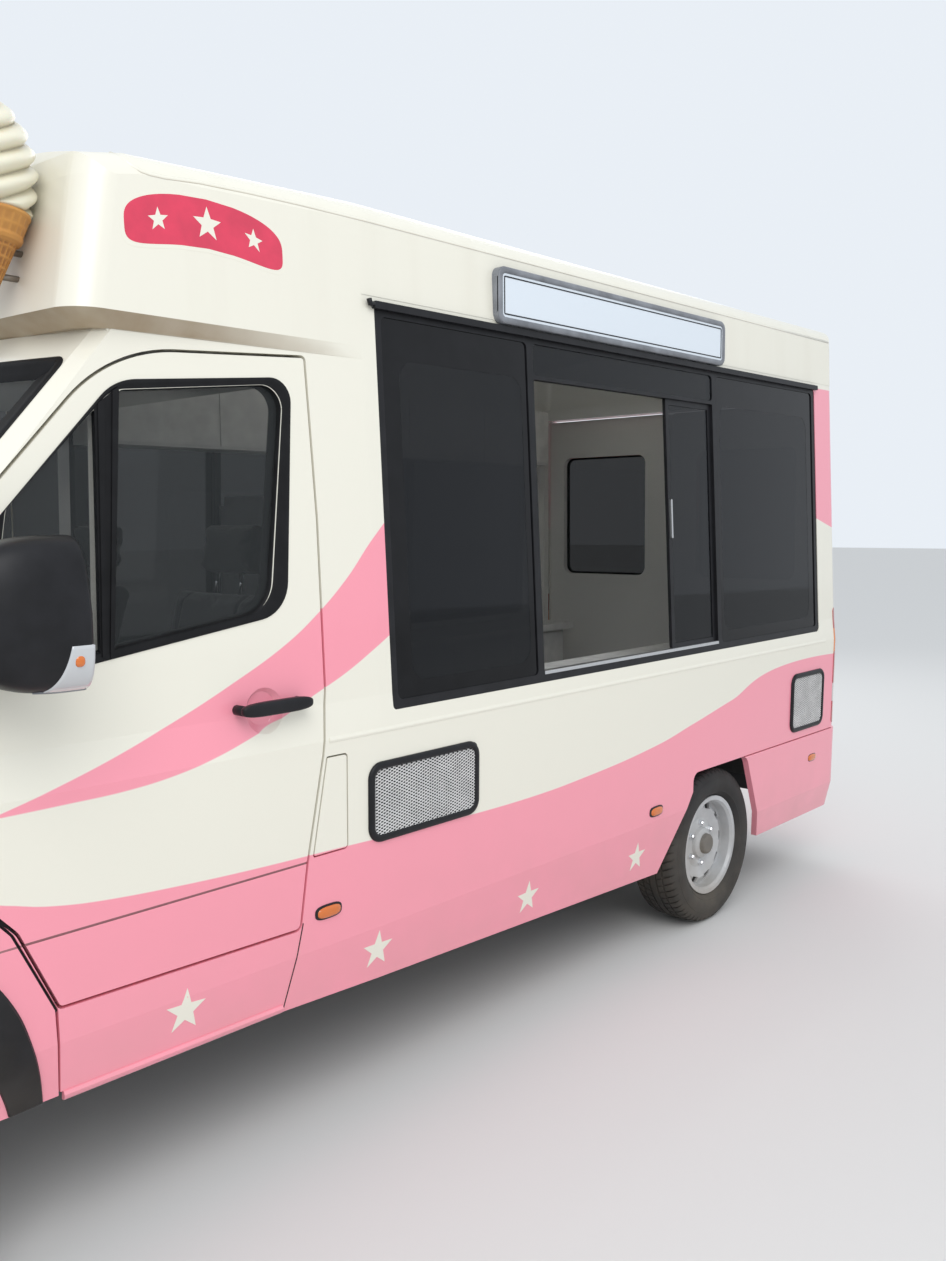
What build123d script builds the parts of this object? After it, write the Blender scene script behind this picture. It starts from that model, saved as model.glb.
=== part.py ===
"""Ice cream van: a high-roof panel van with a serving hatch, a roof pod and two giant cones.

Millimetres. +X is forward, +Y is the van's left side, +Z is up. The origin is on the ground, below the
middle of the bumpers.
"""

import os
from math import acos, cos, radians, sin

from build123d import *

os.makedirs("parts", exist_ok=True)

# Overall sizes
LENGTH = 5905
WIDTH = 1993
WHEELBASE = 3665
FRONT_OVERHANG = 1004
FRONT_AXLE_X = LENGTH / 2 - FRONT_OVERHANG
REAR_AXLE_X = FRONT_AXLE_X - WHEELBASE
NOSE_X = LENGTH / 2
TAIL_X = -LENGTH / 2
BODY_REAR_X = TAIL_X + 34

# Wheels
TYRE_RADIUS = 348
TYRE_HALF_WIDTH = 117.5
BEAD_RADIUS = 203
FLANGE_RADIUS = 221
HALF_TRACK = 850
WHEEL_SLOTS = 10
SPINDLE_RADIUS = 31.95
HUB_BORE_RADIUS = 32
KINGPIN_Y = 740

# Places along the van
POST_X = 340
REAR_RING_X = -2760
DOOR_REAR_X = 571
DOOR_FRONT_X = 1700
WING_REAR_X = DOOR_FRONT_X + 8

# Heights
SKIRT_TOP = 843
WAIST_Z = 1185
BELT_Z = 1290
CAB_TOP = 2285
WALL_TOP = 2475
CAB_FLOOR = 600
LOAD_FLOOR = 640
NOSE_FOOT = 690
BUMPER_FOOT = 255
ARCH_RADIUS = 430

# Thicknesses and gaps
WALL = 42
DOOR_WALL = 48
SKIN = 22
GLASS = 6
GLASS_INSET = 12
SHUT_GAP = 8
BIG = 4000

# Half widths of the side behind the post, and of the same height at the front of the door
SIDE_SECTION = (
    (330, 950, 925),
    (575, 985, 955),
    (WAIST_Z, WIDTH / 2, 966),
    (BELT_Z, 985.5, 937),
)
CAB_TOP_Y = 940.5
WALL_TOP_Y = 932

# Upper cab: height, half width at the post, pillar x, pillar y, screen corner x, corner y, centre x
CAB_SECTIONS = (
    (BELT_Z, 985.5, 1960, 928, 2032, 880, 2272),
    (CAB_TOP, CAB_TOP_Y, 1130, 893, 1161, 859, 1290),
)

# Roof pod: height, half width at the post, half width in front, corner x, centre x
POD_SECTIONS = (
    (CAB_TOP, CAB_TOP_Y, 893, 1190, 1255),
    (2322, 939, 939, 1255, 1305),
    (2640, 928, 924, 1199, 1236),
    (2700, 925, 921, 1183, 1218),
    (2740, 922, 918, 1152, 1187),
    (2850, 916, 912, 1045, 1080),
)
POD_CORNER = 90
REAR_CORNER = 60
ROOF_EDGE_Y = 840
ROOF_EDGE_Z = 2762
ROOF_CROWN_Z = 2818
# Shoulder between the pod's side and its roof: radius, and half width where it would stand upright
SHOULDER_RADIUS = 103.7
SHOULDER_Y = 930
# Roof: x, how far its edge drops there, how far its crown drops
ROOF_DROPS = ((-4000, 0, 0), (300, 3, 0), (500, 11, 2), (1060, 36, 10), (1190, 62, 20), (1330, 110, 40))

# Nose: x, side half width, shoulder half width, shoulder height, crown height
NOSE_SECTIONS = (
    (WING_REAR_X, 966, 937, 1290, 1400),
    (2060, 962, 912, 1262, 1345),
    (2300, 948, 890, 1212, 1292),
    (2620, 905, 838, 1100, 1172),
    (2960, 850, 740, 900, 950),
)
NOSE_SHOULDER = 115
# Nose face: height, x at the side, x at the middle
NOSE_FACE = ((NOSE_FOOT, 2650, 2930), (1250, 2520, 2770))
# Front bumper: height, half width, corner x, centre x
BUMPER_SECTIONS = (
    (BUMPER_FOOT, 930, 2700, 2915),
    (420, 950, 2720, NOSE_X),
    (NOSE_FOOT, 938, 2690, NOSE_X - 12),
)

# Side-view outlines, as x and z, with the radius of each corner
DOOR_OUTLINE = (
    (660, 652, 20),
    (632, 842, 0),
    (DOOR_REAR_X, 1145, 0),
    (547, 1330, 0),
    (543, 1816, 0),
    (556, 2272, 12),
    (1137, 2238, 440),
    (1431, 1918, 0),
    (DOOR_FRONT_X, 1640, 60),
    (DOOR_FRONT_X, 1130, 120),
    (1473, 873, 60),
    (1379, 664, 16),
)
WINDOW_OUTLINE = ((720, 1572, 105), (634, 2190, 60), (1131, 2137, 26), (1198, 1487, 12))
QUARTER_OUTLINE = ((1219, 1494, 10), (1182, 2096, 8), (1424, 1848, 40), (1500, 1460, 30))
HATCH_OUTLINE = ((290, 1238, 14), (290, 2448, 14), (-2693, 2448, 30), (-2693, 1238, 30))
SKIRT_OUTLINE = (
    (735, 420, 0),
    (652, 652, 20),
    (624, SKIRT_TOP, 0),
    (REAR_RING_X, SKIRT_TOP, 0),
    (REAR_RING_X, 722, 0),
    (-1486, 722, 40),
    (-1486, 640, 0),
    (-1261, 330, 0),
)
FLAP_OUTLINE = ((480, 851, 14), (480, 1139, 14), (560, 1139, 8), (614, 851, 8))
REAR_ARCH_OUTLINE = (
    (-1261, 330, 0),
    (-1486, 640, 0),
    (-1486, 722, 40),
    (-1950, 722, 60),
    (-2130, 290, 0),
    (-2130, 200, 0),
    (-1261, 200, 0),
)
FRONT_VENT = (-84, 392, 850, 1085)
REAR_VENT = (-2735, -2392, 765, 1040)

# Hatch panes: low x, high x, low z, high z
HATCH_PANES = (
    (-428, 262, 1266, 2420),
    (-1690, -462, 2312, 2420),
    (-2662, -1722, 1266, 2420),
)
SERVING_HOLE = (-1690, -462, 1270, 2298)
SASH = (-1690, -1332, 1270, 2298)

# Door hinges
REAR_DOOR_HALF_WIDTH = 862
REAR_DOOR_FOOT = 730
REAR_DOOR_HEAD = 2400
REAR_DOOR_WALL = 46

# Grooves pressed into the lower body: low z, high z
GROOVES = ((840, 846), (648, 653))
GROOVE_DEPTH = 3

# Handle cup on the doors: a round hollow with sloping sides, as half width and radius of its floor and mouth
CUP_X = 762
CUP_Z = 1304
CUP_ROUNDS = ((957, 46), (990, 82))

# Rail over the hatch: front x, rear x, z, height, how far it stands out
RAIL = (300, -2702, 2449, 22, 16)

# Cones on the pod
CONE_X = 1376
CONE_Y = 690
WAFER_TOP = 2590
WAFER_FOOT = 2318
FLUTES = 8
FLUTE_RISE_TURN = 300
FLUTE_DEPTH = 0.13
# Swirl: height above the wafer, radius over the flutes
SWIRL_PLANS = ((0, 134), (60, 151), (125, 147), (190, 124), (250, 90), (300, 48), (332, 9))


def outline(rows):
    """Closed outline from rows of two coordinates and a corner radius."""
    with BuildSketch() as flat:
        with BuildLine():
            Polyline(*[(a, b) for a, b, _ in rows], close=True)
        make_face()
        for a, b, radius in rows:
            if radius:
                corner = flat.vertices().sort_by_distance((a, b, 0))[0]
                fillet(corner, radius)
    return flat.sketch


def box_outline(low_a, high_a, low_b, high_b, radius=0):
    """Upright rectangle from its limits."""
    corners = ((low_a, low_b), (low_a, high_b), (high_a, high_b), (high_a, low_b))
    return outline([(a, b, radius) for a, b in corners])


def grown(flat, amount):
    """The outline moved outwards by an amount, or inwards if it is negative."""
    with BuildSketch() as moved:
        add(flat)
        offset(amount=amount, kind=Kind.INTERSECTION)
    return moved.sketch


def across(flat, low_y=-BIG, high_y=BIG):
    """Side-view outline made solid from side to side."""
    with BuildPart() as solid:
        with BuildSketch(Plane.XZ.offset(-high_y)):
            add(flat)
        extrude(amount=high_y - low_y)
    return solid.part


def along(flat, low_x, high_x):
    """Front-view outline, drawn as y and z, made solid from back to front."""
    with BuildPart() as solid:
        with BuildSketch(Plane.YZ.offset(low_x)):
            add(flat)
        extrude(amount=high_x - low_x)
    return solid.part


def upright(flat, low_z, high_z):
    """Plan outline made solid from bottom to top."""
    with BuildPart() as solid:
        with BuildSketch(Plane.XY.offset(low_z)):
            add(flat)
        extrude(amount=high_z - low_z)
    return solid.part


def load_form(inset):
    """The lower body behind the post, as stacked plans with rounded rear corners."""
    rows = [(z, y) for z, y, _ in SIDE_SECTION] + [(CAB_TOP, CAB_TOP_Y), (WALL_TOP, WALL_TOP_Y)]
    with BuildPart() as form:
        for z, half_width in rows:
            with BuildSketch(Plane.XY.offset(z)) as plan:
                with BuildLine():
                    Polyline(
                        (POST_X, half_width - inset),
                        (BODY_REAR_X + inset, half_width - inset),
                        (BODY_REAR_X + inset, inset - half_width),
                        (POST_X, inset - half_width),
                        close=True,
                    )
                make_face()
                fillet(plan.vertices().group_by(Axis.X)[0], REAR_CORNER - inset / 2)
        loft(ruled=True)
    return form.part


def lower_cab_form(inset):
    """The body below the belt, from the post to the front of the door."""
    with BuildPart() as form:
        for x, column in ((POST_X, 1), (WING_REAR_X, 2)):
            left = [(row[column] - inset, row[0]) for row in SIDE_SECTION]
            right = [(-y, z) for y, z in reversed(left)]
            with BuildSketch(Plane.YZ.offset(x)):
                with BuildLine():
                    Polyline(*left, *right, close=True)
                make_face()
        loft(ruled=True)
    return form.part


def upper_cab_form(inset):
    """The cab from the belt to the roof, with its bowed and raked screen."""
    with BuildPart() as form:
        for z, post_y, pillar_x, pillar_y, corner_x, corner_y, centre_x in CAB_SECTIONS:
            left = (corner_x - inset, corner_y - inset)
            right = (corner_x - inset, inset - corner_y)
            with BuildSketch(Plane.XY.offset(z)):
                with BuildLine():
                    Polyline(
                        left,
                        (pillar_x - inset, pillar_y - inset),
                        (POST_X, post_y - inset),
                        (POST_X, inset - post_y),
                        (pillar_x - inset, inset - pillar_y),
                        right,
                    )
                    ThreePointArc(right, (centre_x - 1.3 * inset, 0), left)
                make_face()
        loft(ruled=True)
    return form.part


def roof_line(inset):
    """Everything below the crowned roof, whose edges and crown drop towards the front."""
    with BuildPart() as form:
        radius = SHOULDER_RADIUS - inset
        centre_y = SHOULDER_Y - SHOULDER_RADIUS
        full_turn = acos((ROOF_EDGE_Y - centre_y) / radius)
        for x, edge_drop, crown_drop in ROOF_DROPS:
            edge = (ROOF_EDGE_Y, ROOF_EDGE_Z - edge_drop - inset)
            centre_z = edge[1] - radius * sin(full_turn)
            middle = (centre_y + radius * cos(full_turn / 2), centre_z + radius * sin(full_turn / 2))
            foot = (centre_y + radius, centre_z)
            with BuildSketch(Plane.YZ.offset(x)):
                with BuildLine():
                    ThreePointArc(edge, middle, foot)
                    Polyline(
                        foot,
                        (1050, centre_z),
                        (1050, 2000),
                        (-1050, 2000),
                        (-1050, centre_z),
                        (-foot[0], foot[1]),
                    )
                    ThreePointArc((-foot[0], foot[1]), (-middle[0], middle[1]), (-edge[0], edge[1]))
                    ThreePointArc((-edge[0], edge[1]), (0, ROOF_CROWN_Z - crown_drop - inset), edge)
                make_face()
        loft(ruled=True)
    return form.part


def pod_form(inset):
    """The roof pod: stacked plans with a bowed front, cut by the crowned roof."""
    with BuildPart() as form:
        for z, post_y, front_y, corner_x, centre_x in POD_SECTIONS:
            left = (corner_x - inset, front_y - inset)
            right = (corner_x - inset, inset - front_y)
            with BuildSketch(Plane.XY.offset(z)) as plan:
                with BuildLine():
                    Polyline(
                        left,
                        (POST_X, post_y - inset),
                        (BODY_REAR_X + inset, post_y - inset),
                        (BODY_REAR_X + inset, inset - post_y),
                        (POST_X, inset - post_y),
                        right,
                    )
                    ThreePointArc(right, (centre_x - inset, 0), left)
                make_face()
                fillet(plan.vertices().group_by(Axis.X)[-1], POD_CORNER)
                fillet(plan.vertices().group_by(Axis.X)[0], REAR_CORNER - inset / 2)
        loft(ruled=True)
        add(roof_line(inset), mode=Mode.INTERSECT)
    return form.part


def bowed_stack(rows, rear_x, inset, corner=0):
    """Stacked plans with straight sides and a bowed front, from rows of z, half width, side x, centre x."""
    with BuildPart() as form:
        for z, half_width, side_x, centre_x in rows:
            left = (side_x - inset, half_width - inset)
            right = (side_x - inset, inset - half_width)
            with BuildSketch(Plane.XY.offset(z)) as plan:
                with BuildLine():
                    Polyline(left, (rear_x, left[1]), (rear_x, right[1]), right)
                    ThreePointArc(right, (centre_x - inset, 0), left)
                make_face()
                if corner:
                    fillet(plan.vertices().group_by(Axis.X)[-1], corner)
        loft(ruled=True)
    return form.part


def nose_form(inset):
    """The nose: cross sections from the door forwards, cut by the raked and bowed face."""
    face_rows = [(z, 1000 + inset, side_x, centre_x) for z, side_x, centre_x in NOSE_FACE]
    face = bowed_stack(face_rows, WING_REAR_X, inset)
    with BuildPart() as form:
        for x, side_y, edge_y, edge_z, crown_z in NOSE_SECTIONS:
            left = (edge_y - inset, edge_z - inset)
            right = (inset - edge_y, edge_z - inset)
            with BuildSketch(Plane.YZ.offset(x)):
                with BuildLine():
                    Polyline(
                        left,
                        (side_y - inset, edge_z - NOSE_SHOULDER - inset),
                        (side_y - inset, NOSE_FOOT),
                        (inset - side_y, NOSE_FOOT),
                        (inset - side_y, edge_z - NOSE_SHOULDER - inset),
                        right,
                    )
                    ThreePointArc(right, (0, crown_z - inset), left)
                make_face()
        loft(ruled=True)
        add(face, mode=Mode.INTERSECT)
    return form.part


def skin(form, thickness, outer_inset=0):
    """A form's outer wall, as its outside less its inside."""
    outside = form(outer_inset)
    inside = form(outer_inset + thickness)
    with BuildPart() as wall:
        add(outside)
        add(inside, mode=Mode.SUBTRACT)
    return wall.part


def grooves():
    """Two shallow grooves that run along the cab's side below the door handle."""
    with BuildPart() as cut:
        add(skin(lower_cab_form, GROOVE_DEPTH + 10, -10))
        add(groove_strips, mode=Mode.INTERSECT)
    return cut.part


# Outlines used by more than one piece
with BuildPart() as groove_blocks:
    for low_z, high_z in GROOVES:
        add(across(box_outline(DOOR_REAR_X - 30, WING_REAR_X, low_z, high_z)))
groove_strips = groove_blocks.part
door_outline = outline(DOOR_OUTLINE)
door_hole_outline = grown(door_outline, SHUT_GAP / 2)
door_leaf_outline = grown(door_outline, -SHUT_GAP / 2)
window_outline = outline(WINDOW_OUTLINE)
quarter_outline = outline(QUARTER_OUTLINE)
hatch_outline = outline(HATCH_OUTLINE)
rear_arch_outline = outline(REAR_ARCH_OUTLINE)
flap_outline = outline(FLAP_OUTLINE)

# Tyres and rims: name, axle x, side
WHEELS = (
    ("front_left", FRONT_AXLE_X, 1),
    ("front_right", FRONT_AXLE_X, -1),
    ("rear_left", REAR_AXLE_X, 1),
    ("rear_right", REAR_AXLE_X, -1),
)
for name, axle_x, side in WHEELS:
    hub_plane = Plane(origin=(axle_x, side * HALF_TRACK, TYRE_RADIUS), x_dir=(1, 0, 0), z_dir=(0, 0, side))
    hub_axis = Axis((axle_x, side * HALF_TRACK, TYRE_RADIUS), (0, 1, 0))
    with BuildPart() as tyre:
        with BuildSketch(hub_plane):
            with BuildLine():
                Polyline(
                    (226, 84),
                    (BEAD_RADIUS, 80),
                    (BEAD_RADIUS, -80),
                    (226, -84),
                )
                ThreePointArc((226, -84), (284, -TYRE_HALF_WIDTH), (334, -96))
                Polyline((334, -96), (TYRE_RADIUS, -72), (TYRE_RADIUS, 72), (334, 96))
                ThreePointArc((334, 96), (284, TYRE_HALF_WIDTH), (226, 84))
            make_face()
        revolve(axis=hub_axis)
    tyre.part.label = f"tyre_{name}"
    export_step(tyre.part, f"parts/tyre_{name}.step")

    with BuildPart() as rim:
        with BuildSketch(hub_plane):
            with BuildLine():
                Polyline(
                    (0, 66),
                    (52, 64),
                    (66, 54),
                    (72, 40),
                    (112, 34),
                    (160, 46),
                    (186, 34),
                    (194, 34),
                    (194, 80),
                    (202, 92),
                    (FLANGE_RADIUS, 92),
                    (FLANGE_RADIUS, 84),
                    (BEAD_RADIUS, 80),
                    (BEAD_RADIUS, -80),
                    (FLANGE_RADIUS, -84),
                    (FLANGE_RADIUS, -92),
                    (202, -92),
                    (194, -80),
                    (194, 22),
                    (160, 34),
                    (112, 22),
                    (72, 20),
                    (HUB_BORE_RADIUS, 20),
                    (HUB_BORE_RADIUS, 52),
                    (0, 52),
                    close=True,
                )
            make_face()
        revolve(axis=hub_axis)
        slot_plane = Plane(
            origin=(axle_x, side * HALF_TRACK, TYRE_RADIUS), x_dir=(1, 0, 0), z_dir=(0, side, 0)
        )
        with BuildSketch(slot_plane):
            with PolarLocations(168, WHEEL_SLOTS):
                Rectangle(26, 44)
        extrude(amount=100, mode=Mode.SUBTRACT)
    rim.part.label = f"rim_{name}"
    export_step(rim.part, f"parts/rim_{name}.step")

# Knuckles: an upright with a spindle and a steering arm, turning on the kingpin
for name, side in (("left", 1), ("right", -1)):
    with BuildPart() as knuckle:
        with Locations((FRONT_AXLE_X, side * KINGPIN_Y, TYRE_RADIUS)):
            Box(90, 50, 300)
        with Locations((FRONT_AXLE_X - 75, side * (KINGPIN_Y - 5), TYRE_RADIUS - 60)):
            Box(90, 36, 24)
        disc_plane = Plane(
            origin=(FRONT_AXLE_X, side * 785, TYRE_RADIUS), x_dir=(1, 0, 0), z_dir=(0, side, 0)
        )
        with BuildSketch(disc_plane.offset(-30)):
            Circle(64)
        extrude(amount=110)
        with BuildSketch(disc_plane):
            Circle(150)
        extrude(amount=22)
        with BuildSketch(disc_plane):
            Circle(SPINDLE_RADIUS)
        extrude(amount=112)
    knuckle.part.label = f"knuckle_{name}"
    export_step(knuckle.part, f"parts/knuckle_{name}.step")

# Rear axle: beam, differential, discs, spindles and leaf springs
with BuildPart() as rear_axle:
    axle_plane = Plane(origin=(REAR_AXLE_X, 0, TYRE_RADIUS), x_dir=(1, 0, 0), z_dir=(0, 1, 0))
    for radius, half_length in ((52, 790), (150, 120), (SPINDLE_RADIUS, 897)):
        with BuildSketch(axle_plane.offset(-half_length)):
            Circle(radius)
        extrude(amount=2 * half_length)
    for side in (1, -1):
        with BuildSketch(axle_plane.offset(side * 785 - 11)):
            Circle(150)
        extrude(amount=22)
        with BuildSketch(axle_plane.offset(side * 820 - 44)):
            Circle(64)
        extrude(amount=88)
    spring_top = TYRE_RADIUS + 92
    for side in (1, -1):
        with BuildSketch(Plane.XZ.offset(-side * 520 - 35)):
            with BuildLine():
                ThreePointArc(
                    (REAR_AXLE_X - 700, spring_top + 38),
                    (REAR_AXLE_X, spring_top - 40),
                    (REAR_AXLE_X + 700, spring_top + 38),
                )
                Line((REAR_AXLE_X + 700, spring_top + 38), (REAR_AXLE_X + 700, spring_top + 26))
                ThreePointArc(
                    (REAR_AXLE_X + 700, spring_top + 26),
                    (REAR_AXLE_X, spring_top - 76),
                    (REAR_AXLE_X - 700, spring_top + 26),
                )
                Line((REAR_AXLE_X - 700, spring_top + 26), (REAR_AXLE_X - 700, spring_top + 38))
            make_face()
        extrude(amount=70)
rear_axle.part.label = "rear_axle"
export_step(rear_axle.part, "parts/rear_axle.step")

# Chassis frame: two rails, cross members and spring hangers
TOW_Z = 535
TOW_RADIUS = 13
TOW_DEPTH = 60
TOW_REACH = {1: 2895, -1: 2948}
CROSS_MEMBERS = (-2760, -2200, -1300, -300, 700, 1310)
with BuildPart() as chassis_frame:
    for side in (1, -1):
        with Locations((-60, side * 415, 535)):
            Box(5500, 70, 110)
        for hanger_x in (REAR_AXLE_X - 700, REAR_AXLE_X + 700):
            with Locations((hanger_x, side * 500, 527)):
                Box(70, 110, 94)
    for member_x in CROSS_MEMBERS:
        with Locations((member_x, 0, 548)):
            Box(90, 770, 80)
    for end_x, direction, socket_y in ((2690, 1, -415), (-2810, -1, -415)):
        socket_plane = Plane(origin=(end_x, socket_y, TOW_Z), x_dir=(0, 1, 0), z_dir=(direction, 0, 0))
        reach = TOW_REACH[direction] - abs(end_x)
        with BuildSketch(socket_plane):
            Circle(28)
        extrude(amount=reach)
        with BuildSketch(socket_plane.offset(reach)):
            Circle(TOW_RADIUS)
        extrude(amount=-TOW_DEPTH, mode=Mode.SUBTRACT)
chassis_frame.part.label = "chassis_frame"
export_step(chassis_frame.part, "parts/chassis_frame.step")

# Front subframe: cross beam, lower arms and strut towers
with BuildPart() as front_subframe:
    with Locations((FRONT_AXLE_X, 0, 300)):
        Box(260, 900, 80)
    for side in (1, -1):
        with BuildSketch(Plane.XY.offset(166)):
            with BuildLine():
                Polyline(
                    (FRONT_AXLE_X + 130, side * 380),
                    (FRONT_AXLE_X + 35, side * (KINGPIN_Y + 25)),
                    (FRONT_AXLE_X - 35, side * (KINGPIN_Y + 25)),
                    (FRONT_AXLE_X - 130, side * 380),
                    (FRONT_AXLE_X - 130, side * 300),
                    (FRONT_AXLE_X + 130, side * 300),
                    close=True,
                )
            make_face()
        extrude(amount=24)
        with Locations((FRONT_AXLE_X, side * 340, 230)):
            Box(260, 80, 104)
        with Locations((FRONT_AXLE_X, side * 415, 410)):
            Box(200, 70, 140)
front_subframe.part.label = "front_subframe"
export_step(front_subframe.part, "parts/front_subframe.step")

# Engine, one plain block, on the subframe
with BuildPart() as engine_block:
    with Locations((2270, 0, 650)):
        Box(640, 520, 560)
    with Locations((2030, 0, 355)):
        Box(90, 300, 30)
engine_block.part.label = "engine_block"
export_step(engine_block.part, "parts/engine_block.step")

# Gearbox and propeller shaft
with BuildPart() as driveline:
    with Locations((1650, 0, 460)):
        Box(560, 320, 240)
    shaft_start = Vector(1372, 0, 440)
    shaft_end = Vector(REAR_AXLE_X + 156, 0, TYRE_RADIUS)
    shaft = shaft_end - shaft_start
    with BuildSketch(Plane(origin=shaft_start, z_dir=shaft.normalized())):
        Circle(38)
    extrude(amount=shaft.length)
driveline.part.label = "driveline"
export_step(driveline.part, "parts/driveline.step")

# Exhaust: pipe, silencer and tail pipe, on the right
with BuildPart() as exhaust:
    with BuildLine() as exhaust_path:
        FilletPolyline(
            (1500, -215, 420),
            (700, -215, 400),
            (-700, -215, 400),
            (-900, -600, 380),
            (-990, -870, 350),
            radius=90,
        )
    with BuildSketch(Plane(origin=(1500, -215, 420), z_dir=exhaust_path.line % 0)):
        Circle(28)
    sweep()
    with Locations((100, -215, 400)):
        Box(620, 240, 150)
    fillet(exhaust.edges().filter_by(Axis.X).group_by(SortBy.LENGTH)[-1], 50)
    for hanger_x in (-100, 300):
        with Locations((hanger_x, -300, 490)):
            Box(30, 30, 60)
        with Locations((hanger_x, -340, 515)):
            Box(30, 80, 20)
exhaust.part.label = "exhaust"
export_step(exhaust.part, "parts/exhaust.step")

# Fuel tank, hung between the left rail and the skirt
with BuildPart() as fuel_tank:
    with Locations((-500, 660, 470)):
        Box(900, 380, 220)
    fillet(fuel_tank.edges().filter_by(Axis.X), 40)
    with Locations((-500, 660, 583)):
        Box(600, 60, 18)
fuel_tank.part.label = "fuel_tank"
export_step(fuel_tank.part, "parts/fuel_tank.step")

# Floor: load floor, step to the cab, bulkhead and rear wheel boxes
FLOOR_HALF_WIDTH = 905
WHEEL_BOX = (-2130, -1300)
with BuildPart() as floor:
    with BuildSketch(Plane.XZ.offset(-FLOOR_HALF_WIDTH)):
        with BuildLine():
            Polyline(
                (-2816, LOAD_FLOOR),
                (POST_X + 60, LOAD_FLOOR),
                (POST_X + 60, CAB_FLOOR + 20),
                (1440, CAB_FLOOR + 20),
                (1490, 860),
                (1690, 1000),
                (1990, 1240),
                (2010, 1222),
                (1712, 976),
                (1516, 840),
                (1466, CAB_FLOOR - 8),
                (-2816, CAB_FLOOR - 8),
                close=True,
            )
        make_face()
    extrude(amount=2 * FLOOR_HALF_WIDTH)
    for side in (1, -1):
        with Locations((sum(WHEEL_BOX) / 2, side * 797, 680)):
            Box(WHEEL_BOX[1] - WHEEL_BOX[0], 216, 180)
        with Locations((sum(WHEEL_BOX) / 2, side * 809, 660)):
            Box(WHEEL_BOX[1] - WHEEL_BOX[0] - 24, 216, 196, mode=Mode.SUBTRACT)
        with Locations((1872, side * 905, 1050)):
            Box(324, 118, 600, mode=Mode.SUBTRACT)
floor.part.label = "floor"
export_step(floor.part, "parts/floor.step")

# Cab shell: roof frame, pillars, posts and sills, with the door and screen openings cut
SCREEN_OUTLINE = ((864, 1345, 40), (848, 2205, 20), (-848, 2205, 20), (-864, 1345, 40))
# Side views of what is cut off the shell: below its sills, and ahead of the front posts
SILL_CUT = ((POST_X - 9, 300, 0), (POST_X - 9, 425, 0), (735, 425, 0), (1500, 452, 0), (1500, 300, 0))
WING_CUT = (
    (1375, 300, 0),
    (1383, 662, 0),
    (1481, 873, 0),
    (1650, 1090, 0),
    (1690, 1190, 0),
    (1704, 1250, 0),
    (2400, 1250, 0),
    (2400, 300, 0),
)
ROOF_BEAM = ((POST_X, 2245, 0), (POST_X, CAB_TOP, 0), (1160, CAB_TOP, 0), (1195, 2245, 0))
screen_outline = outline(SCREEN_OUTLINE)
skirt_outline = outline(SKIRT_OUTLINE)
with BuildPart() as cab_shell:
    add(skin(lower_cab_form, WALL))
    with Locations((1900, 0, 1000)):
        Box(400, 2200, 1400, mode=Mode.SUBTRACT)
    add(across(skirt_outline), mode=Mode.SUBTRACT)
    add(skin(upper_cab_form, WALL))
    add(across(door_hole_outline), mode=Mode.SUBTRACT)
    add(across(outline(ROOF_BEAM), -835, 835))
    add(across(box_outline(POST_X, 1140, 2277, CAB_TOP), -890, 890))
    add(along(screen_outline, 1110, 2600), mode=Mode.SUBTRACT)
    add(across(outline(SILL_CUT)), mode=Mode.SUBTRACT)
    add(across(outline(WING_CUT)), mode=Mode.SUBTRACT)
    add(across(flap_outline, 0, BIG), mode=Mode.SUBTRACT)
    for side in (1, -1):
        with Locations((1752, side * 880, 1045)):
            Box(76, 56, 490)
cab_shell.part.label = "cab_shell"
export_step(cab_shell.part, "parts/cab_shell.step")

# Windscreen, let into the cab shell
with BuildPart() as windscreen:
    add(skin(upper_cab_form, GLASS, GLASS_INSET))
    add(along(screen_outline, 1110, 2600), mode=Mode.INTERSECT)
windscreen.part.label = "windscreen"
export_step(windscreen.part, "parts/windscreen.step")

# Wipers: blades on the glass and arms from the cowl, both following the bowed screen
WIPER_REACH = 16
BLADE_STRIPS = (
    ((140, 1352, 0), (690, 1500, 0), (686, 1516, 0), (136, 1368, 0)),
    ((-620, 1352, 0), (-60, 1500, 0), (-64, 1516, 0), (-624, 1368, 0)),
)
ARM_STRIPS = (
    ((66, 1296, 0), (92, 1296, 0), (424, 1440, 0), (416, 1456, 0)),
    ((-694, 1296, 0), (-668, 1296, 0), (-334, 1440, 0), (-342, 1456, 0)),
)
with BuildPart() as blade_blocks:
    for strip in BLADE_STRIPS:
        add(along(outline(strip), 1500, 2600))
with BuildPart() as arm_blocks:
    for strip in ARM_STRIPS:
        add(along(outline(strip), 1500, 2600))
with BuildPart() as wiper_arms:
    add(skin(upper_cab_form, WIPER_REACH, -WIPER_REACH))
    add(arm_blocks.part, mode=Mode.INTERSECT)
with BuildPart() as wipers:
    add(skin(upper_cab_form, GLASS_INSET + WIPER_REACH, -WIPER_REACH))
    add(blade_blocks.part, mode=Mode.INTERSECT)
    add(wiper_arms.part)
wipers.part.label = "wipers"
export_step(wipers.part, "parts/wipers.step")

# Cuts that share the nose out between its panels
bonnet_plan = outline(
    (
        (2010, 850, 0),
        (2240, 838, 0),
        (2560, 770, 40),
        (2745, 560, 60),
        (2790, 0, 0),
        (2745, -560, 60),
        (2560, -770, 40),
        (2240, -838, 0),
        (2010, -850, 0),
    )
)
cowl_line = bowed_stack(
    ((600, 1000, 1975, 2300), (1600, 1000, 1965, 2290)), 1700, 0
)
lamp_outline = outline(((470, 752, 20), (500, 985, 30), (760, 1062, 60), (940, 1062, 0), (940, 790, 40)))
grille_outline = outline(((462, 752, 20), (488, 960, 30), (-488, 960, 30), (-462, 752, 20)))

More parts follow.
